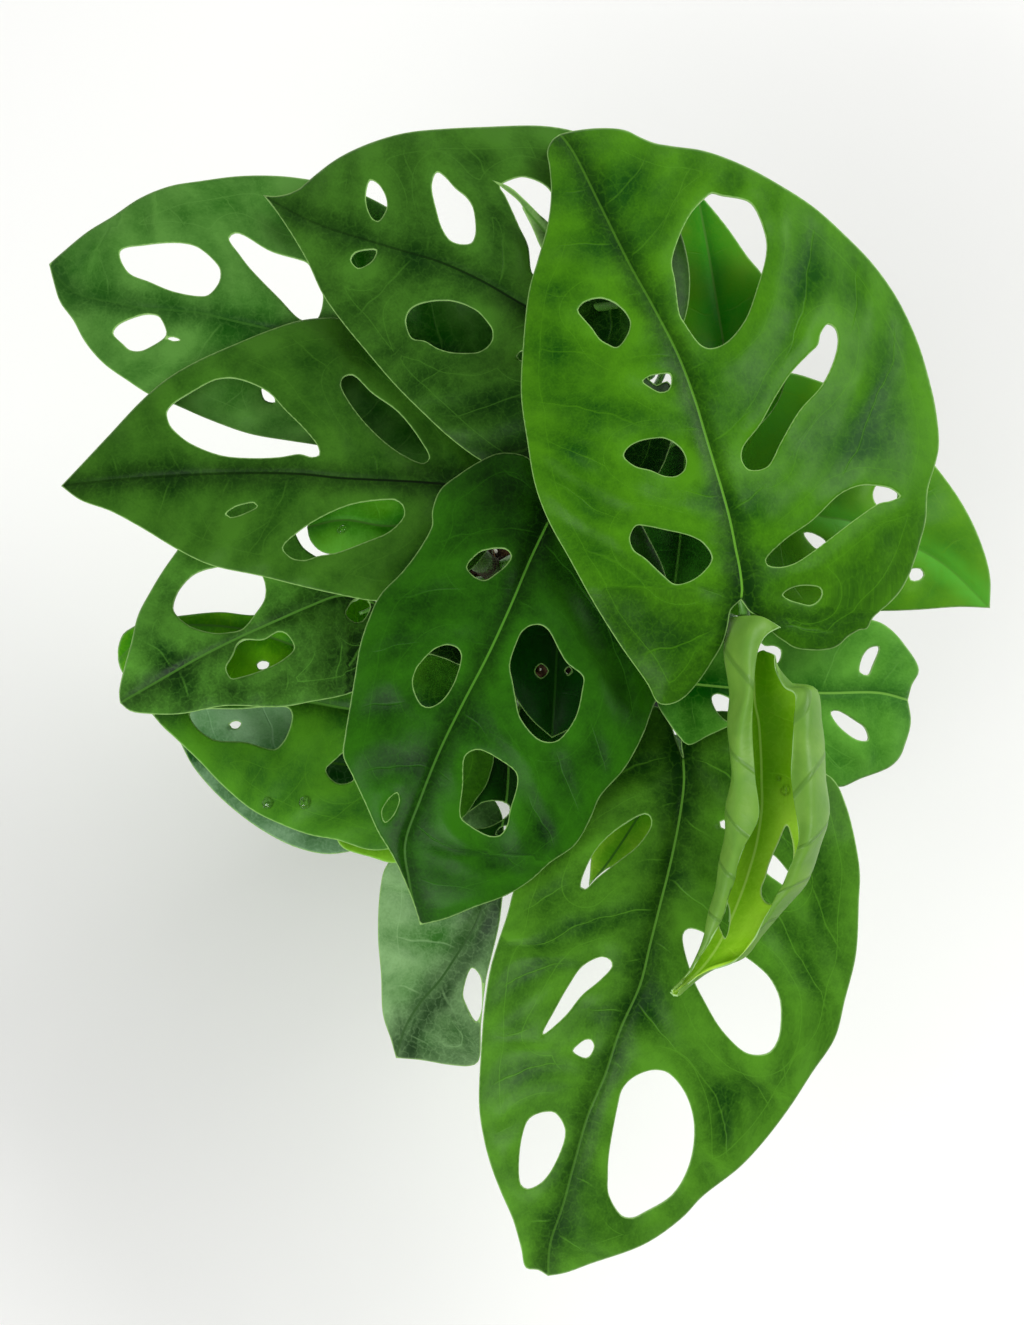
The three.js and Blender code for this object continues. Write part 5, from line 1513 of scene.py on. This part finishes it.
# %% Nodes, scales and root stubs
SCALE_ROWS, SCALE_COLUMNS = 9, 13
SCALE_THICKNESS = 0.22
OLD_PART = 0.62  # of a stem's length: only nodes below it carry scales and root stubs
YOUNG_PART = 0.9  # of a stem's length: nodes beyond it have no scar yet


def nodes_of(stem):
    """Share of the stem's length, centre, direction and leaf side of each node."""
    stalks = [leaf["stalk"] for leaf in LEAVES.values()] + [YOUNG_STALK]
    return [(stalk["node"], *node_frame(stalk)) for stalk in stalks if stalk["stem"] == stem]


def add_scale(shape, centre, along, out, length):
    """A dry scale behind a node: wide and clasping below, drawn out to a free tip."""
    side = np.cross(along, out)
    share, turn = np.meshgrid(np.linspace(0, 1, SCALE_ROWS), np.linspace(-1, 1, SCALE_COLUMNS),
                              indexing="ij")
    angle = math.pi + turn * (2.1 * (1 - share) ** 0.7 + 0.06)
    reach = NODE_RADIUS + 0.15 + 2.6 * share**2 + 0.35 * share * np.sin(4 * angle + length)
    radial = np.cos(angle)[..., None] * out + np.sin(angle)[..., None] * side
    top = centre + along * (length * share - 1.0)[..., None] + radial * reach[..., None]
    number = np.arange(top[..., 0].size).reshape(SCALE_ROWS, SCALE_COLUMNS)
    a, b = number[:-1, :-1].ravel(), number[:-1, 1:].ravel()
    c, d = number[1:, 1:].ravel(), number[1:, :-1].ravel()
    triangles = np.vstack([np.column_stack([a, b, c]), np.column_stack([a, c, d])])
    ring = np.concatenate([number[0], number[1:, -1], number[-1, -2::-1], number[-2:0:-1, 0]])
    border = np.column_stack([ring, np.roll(ring, -1)])
    place = np.stack([angle * 4, share * length], axis=2).reshape(-1, 2)[triangles]
    rim = np.minimum(1 - np.abs(turn), 1 - share).ravel() * 6
    thickness = np.full(top[..., 0].size, SCALE_THICKNESS)
    close_blade(shape, top.reshape(-1, 3), triangles, border, thickness, place, place, rim)


def add_root_stub(shape, centre, along, out, turn, length):
    """A short aerial root that bends down as it grows and ends bluntly."""
    side = np.cross(along, out)
    away = math.cos(turn) * out + math.sin(turn) * side
    points = [centre + away * 2.5, centre + away * (NODE_RADIUS + 0.8)]
    points.append(centre + away * (NODE_RADIUS + 0.5 * length) - along * 0.35 * length)
    points.append(centre + away * (NODE_RADIUS + 0.7 * length) - along * length)
    path = smooth(points, 0.7)
    share = walk(path) / walk(path)[-1]
    radii = ROOT_RADIUS * (1 - 0.35 * share) * np.sqrt(1.02 - share**6)
    places, faces = tube(path, radii, ROOT_SIDES)
    shape.add_body(places, faces, STALK, np.zeros(len(places)))


print("leaves on the right stem:", len(nodes_of("stem_right")))


# %% Stem materials
def stem_skin():
    """Green with streaks 11 mm long; cork with crumbs of 1.5 mm round each node. Both tones
    are darkened as painted shade, for the shade under the leaves.
    """
    material, tree, shader = new_material("vine_stem_skin", "#35551f", 0.5, Specular_IOR_Level=0.2)
    place = add(tree, "TexCoord").outputs["Object"]
    to_node = add(tree, "Attribute", attribute_name="edge").outputs["Fac"]
    stretch = add(tree, "Mapping", [place], Scale=(700, 700, 90))
    streaks = add(tree, "TexNoise", [stretch], Scale=1.0, Detail=4.0)
    crumbs = add(tree, "TexNoise", [place], Scale=650.0, Detail=4.0)
    # Both tones are darkened as painted shade, for the shade under the leaves.
    green = layered(tree, srgb("#264a16"), (streaks, srgb("#4c6a30")))
    cork = layered(tree, srgb("#18150c"), (crumbs, srgb("#3c3321")))
    near = drawn_from(tree, (weighted(tree, to_node, (crumbs, -5.0)), -1.5, 1.2, 1.0, 0.0))
    rough = add(tree, "MapRange", (near, 0.0, 1.0, 0.42, 0.85))
    high = add(tree, inputs=(crumbs, near, streaks), **TIMES_PLUS)
    bump = add(tree, "Bump", {"Height": high}, Strength=0.6, Distance=0.0004)
    cover(shader, Base_Color=layered(tree, green, (near, cork)), Roughness=rough, Normal=bump)
    return material


def dry_scale_paper():
    """Brown, stiff paper with fibres that run along the scale, darkened as painted shade
    for the shade under the leaves.
    """
    material, tree, shader = new_material("dry_scale_paper", "#6e5442", 0.75,
                                          Specular_IOR_Level=0.2)
    place = add(tree, "UVMap", uv_map="blade")
    stretch = add(tree, "Mapping", [place], Scale=(1.6, 0.12, 1.0))
    fibres = add(tree, "TexNoise", [stretch], Scale=1.0, Detail=4.0)
    spread = add(tree, "MapRange", (fibres, 0.3, 0.7))
    bump = add(tree, "Bump", {"Height": fibres}, Strength=0.6, Distance=0.0004)
    # Both tones are darkened as painted shade, for the shade under the leaves.
    paper = layered(tree, srgb("#1a120d"), (spread, srgb("#4a392b")))
    cover(shader, Base_Color=paper, Normal=bump)
    return material


paper, bark_skin = dry_scale_paper(), stem_skin()
print("stem materials:", paper.name, bark_skin.name)

# %% Grow the stems
for number, name in enumerate(STEMS):
    path, nodes = stem_path(name), nodes_of(name)
    run = walk(path)
    at_nodes = np.array([share * run[-1] for share, *_ in nodes])
    to_node = np.abs(run[:, None] - at_nodes).min(axis=1)
    radii = STEM_RADIUS + (NODE_RADIUS - STEM_RADIUS) * np.exp(-((to_node / NODE_WIDTH) ** 2))
    radii = radii * np.sqrt(np.clip((run[-1] - run) / 2.5, 0.02, 1))
    shape = Shape()
    places, faces = tube(path, radii, STEM_SIDES)
    to_scar = np.abs(run[:, None] - at_nodes[at_nodes < YOUNG_PART * run[-1]]).min(axis=1)
    shape.add_body(places, faces, STALK, np.repeat(to_scar, STEM_SIDES))
    for i, (share, centre, along, out) in enumerate(nodes):
        if share >= OLD_PART:
            continue
        add_scale(shape, centre, along, out, 9 + 3 * math.sin(3 * i + number))
        for turn in (1.7, -1.5 - 0.2 * i)[: 1 + (i + number) % 2]:
            add_root_stub(shape, centre, along, out, turn, 3.0 + 1.2 * math.cos(2 * i + number))
    stem = shape.build("grown_" + name, [paper, paper, paper, bark_skin])
    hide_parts(name)
    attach(stem, "root")
    print(name, "nodes:", len(nodes), "faces:", len(stem.data.polygons))

# %% [markdown]
# ## Potting mix
# The mix fills the pot nearly to the rim: dark peat crumbs, bark chips, white perlite
# and a few pale coir fibres. The ground is one closed solid with a hole for each stem;
# its coarse unevenness is real relief and its crumbs are a bump. The loose bits on top
# are scattered by one Geometry Nodes tree, which is run once for each kind of bit with
# its own size, density and seed, so they never repeat visibly.

# %% The ground with its stem holes
SOIL_EDGE_RADIUS, SOIL_EDGE_HEIGHT, SOIL_RISE = 48.5, 79.0, 3.0
SOIL_BOTTOM, SOIL_BOTTOM_RADIUS = 3.4, 36.9
HOLE_RADIUS = 3.45
SOIL_RIM_POINTS, HOLE_POINTS, SOIL_CELL = 150, 20, 1.9
MIRROR = (1, -1)  # the sheet counts v downwards, the ground counts y away from the eye


def circle(centre, radius, count):
    angle = np.arange(count) / count * 2 * math.pi
    return np.column_stack([np.cos(angle), np.sin(angle)]) * radius + centre


def loops_of(border):
    """The closed loops made by directed border edges."""
    follow, loops = dict(border.tolist()), []
    while follow:
        loop = [next(iter(follow))]
        while follow[loop[-1]] != loop[0]:
            loop.append(follow.pop(loop[-1]))
        follow.pop(loop[-1])
        loops.append(loop)
    return loops


def ground_height(spots):
    share = np.linalg.norm(spots, axis=1) / SOIL_EDGE_RADIUS
    lumps = [noise.noise((x / 9, y / 9, 2.0)) * 1.7 + noise.noise((x / 3.2, y / 3.2, 5.0)) * 0.8
             for x, y in spots]
    return SOIL_EDGE_HEIGHT + SOIL_RISE * (1 - share**2) + np.array(lumps) - 0.9


feet = np.array([foot[0] for foot in STEMS.values()])
rims = [circle((0, 0), SOIL_EDGE_RADIUS, SOIL_RIM_POINTS)]
rims += [circle(foot * MIRROR, HOLE_RADIUS, HOLE_POINTS) for foot in feet]
middle_line = smooth([(-9, 6), (9, 6)], 1.5)
spots, triangles, border = fill_blade(rims, middle_line, SOIL_CELL)
spots = spots * MIRROR
top = np.column_stack([spots, ground_height(spots)])
shape = Shape()
shape.add_places(top)
shape.add_faces(triangles, 0)
for loop in loops_of(border):
    low = top[loop].copy()
    if len(loop) == SOIL_RIM_POINTS:
        low[:, :2] *= SOIL_BOTTOM_RADIUS / SOIL_EDGE_RADIUS
        low[:, 2] = SOIL_BOTTOM
    else:
        low[:, 2] = STEM_BOTTOM - FIT
    first = shape.add_places(low)
    under = np.arange(first, first + len(loop))
    upper, after = np.array(loop), np.roll(loop, -1)
    shape.add_faces(np.column_stack([after, upper, under, np.roll(under, -1)]), 0)
    shape.add_faces([under.tolist()], 0)
print("ground points:", shape.count)


# %% Peat, and the ground as a piece
def soil_crumbs():
    """Moist peat: nearly black brown and quite matt, with crumbs of 1 to 3 mm."""
    material, tree, shader = new_material("peat_potting_mix", "#21160f", 0.92,
                                          Specular_IOR_Level=0.2)
    place = add(tree, "TexCoord").outputs["Object"]
    crumbs = add(tree, "TexVoronoi", [place], Scale=520.0)
    fine = add(tree, "TexNoise", [place], Scale=900.0, Detail=5.0)
    mixed = add(tree, "Math", (fine, crumbs.outputs["Distance"]), operation="MULTIPLY")
    spread = add(tree, "MapRange", (mixed, 0.05, 0.4))
    bump = add(tree, "Bump", {"Height": mixed}, Strength=0.9, Distance=0.0012,
               invert=True)
    earth = layered(tree, srgb("#37261b"), (spread, srgb("#120b07")))
    cover(shader, Base_Color=earth, Normal=bump)
    return material


soil = shape.build("potting_mix", [soil_crumbs()])
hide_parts("soil")
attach(soil, "root")
print("ground faces:", len(soil.data.polygons))


# %% Loose bits by Geometry Nodes
PEBBLE_KINDS = 4
MOST_TURN = (0.7, 0.7, 6.28)  # radians about each axis


def scatter_tree():
    """Scatters dented pebbles over faces; size, stretch and density are inputs."""
    tree = bpy.data.node_groups.new("scatter_loose_bits", "GeometryNodeTree")
    for name, kind in (("Geometry", "Geometry"), ("Density", "Float"), ("Seed", "Int"),
                       ("Smallest", "Float"), ("Largest", "Float"), ("Stretch", "Vector"),
                       ("Dents", "Float"), ("Material", "Material")):
        tree.interface.new_socket(name, in_out="INPUT", socket_type="NodeSocket" + kind)
    tree.interface.new_socket("Geometry", in_out="OUTPUT", socket_type="NodeSocketGeometry")
    given = add(tree, "NodeGroupInput").outputs
    points = add(tree, "GeometryNodeDistributePointsOnFaces",
                 {"Mesh": given["Geometry"], "Density": given["Density"], "Seed": given["Seed"]})
    kinds = add(tree, "GeometryNodeJoinGeometry")
    for kind in range(PEBBLE_KINDS):
        pebble = add(tree, "GeometryNodeMeshIcoSphere", Radius=0.5, Subdivisions=2)
        spot = add(tree, "GeometryNodeInputPosition")
        moved = add(tree, "VectorMath", (spot, (kind * 7.3, 1.7, 0.4)), operation="ADD")
        dents = add(tree, "TexNoise", [moved], Scale=1.9, Detail=1.0)
        dents = add(tree, "Math", (dents, 0.5), operation="SUBTRACT")
        dents = add(tree, "Math", (dents, given["Dents"]), operation="MULTIPLY")
        push = add(tree, "VectorMath", {0: spot, "Scale": dents}, operation="SCALE")
        pebble = add(tree, "GeometryNodeSetPosition", {"Geometry": pebble, "Offset": push})
        pebble = add(tree, "GeometryNodeTransform",
                     {"Geometry": pebble, "Scale": given["Stretch"]})
        pebble = add(tree, "GeometryNodeGeometryToInstance", [pebble])
        tree.links.new(pebble.outputs[0], kinds.inputs[0])
    turn = add(tree, "FunctionNodeRandomValue", {"Seed": given["Seed"]}, data_type="FLOAT_VECTOR",
               Max=MOST_TURN)
    sizes = {2: given["Smallest"], 3: given["Largest"], "Seed": given["Seed"]}
    size = add(tree, "FunctionNodeRandomValue", sizes, data_type="FLOAT")
    placed = add(tree, "GeometryNodeInstanceOnPoints",
                 {"Points": points, "Instance": kinds, "Rotation": turn, "Scale": size},
                 Pick_Instance=True)
    solid = add(tree, "GeometryNodeRealizeInstances", [placed])
    dressed = add(tree, "GeometryNodeSetMaterial",
                  {"Geometry": solid, "Material": given["Material"]})
    add(tree, "NodeGroupOutput", [dressed])
    return tree


def bit_material(name, dark, light, roughness):
    """One kind of loose bit: two tones in a grain of 2.4 mm."""
    material, tree, shader = new_material(name, light, roughness, Specular_IOR_Level=0.2)
    place = add(tree, "TexCoord").outputs["Object"]
    grain = add(tree, "TexNoise", [place], Scale=420.0, Detail=5.0)
    spread = add(tree, "MapRange", (grain, 0.35, 0.65))
    bump = add(tree, "Bump", {"Height": grain}, Strength=0.7, Distance=0.0006)
    cover(shader, Base_Color=layered(tree, srgb(dark), (spread, srgb(light))), Normal=bump)
    return material


print("scatter tree and bit material are ready")

# %% Scatter the loose bits
BITS_RADIUS, CLEAR_OF_STEM = 43.5, 6.5
free = triangles[[np.linalg.norm(mid) < BITS_RADIUS
                  and np.linalg.norm(feet - mid, axis=1).min() > CLEAR_OF_STEM
                  for mid in spots[triangles].mean(axis=1)]]
scatter = scatter_tree()
BITS = {
    "bark_chips": dict(Density=42000.0, Seed=3, Smallest=0.004, Largest=0.009,
                       Stretch=(1.0, 0.6, 0.34), Dents=0.9,
                       Material=bit_material("pine_bark_chips", "#26180f", "#523722", 0.85)),
    "peat_crumbs": dict(Density=150000.0, Seed=11, Smallest=0.0015, Largest=0.0034,
                        Stretch=(1.0, 0.8, 0.7), Dents=0.8,
                        Material=bit_material("peat_crumbs", "#150e09", "#35251a", 0.95)),
    "perlite": dict(Density=26000.0, Seed=7, Smallest=0.0018, Largest=0.0038,
                    Stretch=(1.0, 0.9, 0.8), Dents=0.7,
                    Material=bit_material("white_perlite", "#aca89e", "#dcd9d0", 0.8)),
    "coir_fibres": dict(Density=9000.0, Seed=19, Smallest=0.006, Largest=0.012,
                        Stretch=(1.0, 0.05, 0.05), Dents=0.5,
                        Material=bit_material("coir_fibres", "#553c26", "#80623e", 0.8)),
}
for name, values in BITS.items():
    bits = mesh_object(name, (top * MM).tolist(), free.tolist())
    modifier = bits.modifiers.new("scatter", "NODES")
    modifier.node_group = scatter
    for socket in scatter.interface.items_tree:
        if socket.in_out == "INPUT" and socket.name in values:
            modifier[socket.identifier] = values[socket.name]
    plain, patch = carried_out(bits), bits.data
    bits.modifiers.remove(modifier)
    bits.data = plain
    bpy.data.meshes.remove(patch)
    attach(bits, "root")
    print(name, "faces:", len(plain.polygons))

# %% [markdown]
# ## The pot
# A plain, conical plant pot is injection moulded from dark grey polypropylene: a wall of
# about 2 mm, a rolled outer collar that stiffens the rim and five drain holes. Such
# plastic is matt (roughness about 0.5, index of refraction 1.49) with a very fine grain
# and faint rings from turning the mould. The lathe profile repeats the solid's, with
# small fillets on every edge, because a sharp plastic edge would look wrong.

# %% Lathe the pot
POT_PROFILE = [(0, 0, 0), (39, 0, 1.2), (52, 85, 1.0), (55, 86, 0.8), (55, 94, 0.7), (54, 95, 0.7),
               (51.35, 95, 0.7), (37.26, 3, 1.5), (0, 3, 0)]
POT_SEGMENTS = 128


def fillet(profile, steps=4):
    """Rounds the corners of a profile of (radius, height, fillet)."""
    rounded = []
    for i, (r, z, size) in enumerate(profile):
        here = np.array([r, z], float)
        if size == 0:
            rounded.append(here)
            continue
        before = np.array(profile[i - 1][:2]) - here
        after = np.array(profile[i + 1][:2]) - here
        reach = min(size, np.linalg.norm(before) * 0.45, np.linalg.norm(after) * 0.45)
        a, b = here + unit(before) * reach, here + unit(after) * reach
        for w in np.linspace(0, 1, steps + 1):
            rounded.append((1 - w) ** 2 * a + 2 * w * (1 - w) * here + w * w * b)
    return np.array(rounded)


def lathe(name, profile, segments):
    """A closed turned body; the profile starts and ends on the axis."""
    angle = np.arange(segments) / segments * 2 * math.pi
    rings = [[r * np.cos(angle), r * np.sin(angle), np.full(segments, z)]
             for r, z in profile[1:-1]]
    places = np.vstack([np.array(ring).T for ring in rings])
    places = np.vstack([places, [[0, 0, profile[0][1]], [0, 0, profile[-1][1]]]]) * MM
    j = np.arange(segments)
    k, faces = (j + 1) % segments, []
    for i in range(len(rings) - 1):
        a, b = i * segments, (i + 1) * segments
        faces += np.column_stack([a + j, a + k, b + k, b + j]).tolist()
    last, foot = (len(rings) - 1) * segments, len(places) - 2
    faces += np.column_stack([k, j, np.full(segments, foot)]).tolist()
    faces += np.column_stack([last + j, last + k, np.full(segments, foot + 1)]).tolist()
    return mesh_object(name, places.tolist(), faces)


pot = lathe("plant_pot", fillet(POT_PROFILE), POT_SEGMENTS)
print("pot wall faces:", len(pot.data.polygons))

# %% Cut the drain holes
DRAIN_RING, DRAIN_RADIUS, DRAIN_COUNT, DRAIN_SEGMENTS = 24.0, 4.0, 5, 32
DRAIN_TURN = 0.3  # radians
SHARP_EDGE = math.radians(35)
cutters = []
for i in range(DRAIN_COUNT):
    turn = 2 * math.pi * i / DRAIN_COUNT + DRAIN_TURN
    profile = [(0, -2), (DRAIN_RADIUS, -2), (DRAIN_RADIUS, 6), (0, 6)]
    cutter = lathe("drain_cutter", profile, DRAIN_SEGMENTS)
    shift = Vector((math.cos(turn), math.sin(turn), 0)) * DRAIN_RING * MM
    for vertex in cutter.data.vertices:
        vertex.co += shift
    cutters.append(cutter)
    cut = pot.modifiers.new("drain", "BOOLEAN")
    cut.operation, cut.solver, cut.object = "DIFFERENCE", "EXACT", cutter
plain = carried_out(pot)
pot.modifiers.clear()
pot.data = plain
for cutter in cutters:
    bpy.data.objects.remove(cutter)
plain.polygons.foreach_set("use_smooth", [True] * len(plain.polygons))
plain.set_sharp_from_angle(angle=SHARP_EDGE)
print("pot faces with its drain holes:", len(plain.polygons))


# %% Pot plastic
def pot_plastic():
    """Mould rings follow the height alone; a little dust is lighter and more matt."""
    material, tree, shader = new_material("dark_grey_polypropylene", "#34363a", 0.5, IOR=1.49)
    place = add(tree, "TexCoord").outputs["Object"]
    height = add(tree, "SeparateXYZ", [place]).outputs[2]
    grain = add(tree, "TexNoise", [place], Scale=2600.0, Detail=2.0)
    dust = add(tree, "TexNoise", [place], Scale=38.0, Detail=5.0)
    rings = add(tree, "TexNoise", {"W": height}, noise_dimensions="1D", Scale=1100.0)
    dusty = add(tree, "MapRange", (dust, 0.45, 0.8))
    rough = add(tree, "MapRange", (dust, 0.3, 0.7, 0.44, 0.6))
    high = weighted(tree, grain, (rings, 1.5))
    bump = add(tree, "Bump", {"Height": high}, Strength=0.25, Distance=0.0001)
    colour = layered(tree, srgb("#2f3134"), (dusty, srgb("#44464a")))
    cover(shader, Base_Color=colour, Roughness=rough, Normal=bump)
    return material


plain.materials.clear()
plain.materials.append(pot_plastic())
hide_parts("pot")
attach(pot, "root")
print("pot material:", plain.materials[0].name)

# %% [markdown]
# ## Water drops
# After spraying, a few clear drops rest on the blades. A drop of this size sits as a
# low cap with a rounded foot (water on wax, about 80 degrees at its rim). Each is found
# a place by a sight ray from the eye point through the sheet onto its leaf, and is a
# closed, clear body of its own: index of refraction 1.33, perfectly smooth.

# %% Place the drops
DROPS = [("leaf_h", 785.6, 791, 1.6), ("leaf_h", 778.6, 778.6, 0.8), ("leaf_n", 268, 803, 1.9),
         ("leaf_n", 305, 803, 2.0), ("leaf_s", 342, 530, 1.6)]
water, _, _ = new_material("clear_water", "#ffffff", 0.0, IOR=1.33, Transmission_Weight=1.0)
DROP_SHAPE = [(0.0, -0.12), (0.72, -0.1), (0.95, 0.06), (1.0, 0.22), (0.93, 0.42), (0.74, 0.6),
              (0.42, 0.73), (0.0, 0.78)]
DROP_SEGMENTS = 20
for number, (leaf, u, v, radius) in enumerate(DROPS):
    grown = bpy.data.objects["grown_" + leaf]
    start = Vector(EYE * MM)
    ahead = Vector(on_sheet(u, v, 200.0) * MM) - start
    hit, place, normal, _ = grown.ray_cast(start, ahead.normalized())
    drop = lathe(f"water_drop_{number + 1}", DROP_SHAPE, DROP_SEGMENTS)
    turn = Vector((0, 0, 1)).rotation_difference(normal).to_matrix()
    for vertex in drop.data.vertices:
        vertex.co = place + turn @ (vertex.co * radius)
    drop.data.polygons.foreach_set("use_smooth", [True] * len(drop.data.polygons))
    drop.data.materials.append(water)
    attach(drop, "root")
    print(drop.name, "on", leaf, "found:", hit)

# %% Update the scene
bpy.context.view_layer.update()
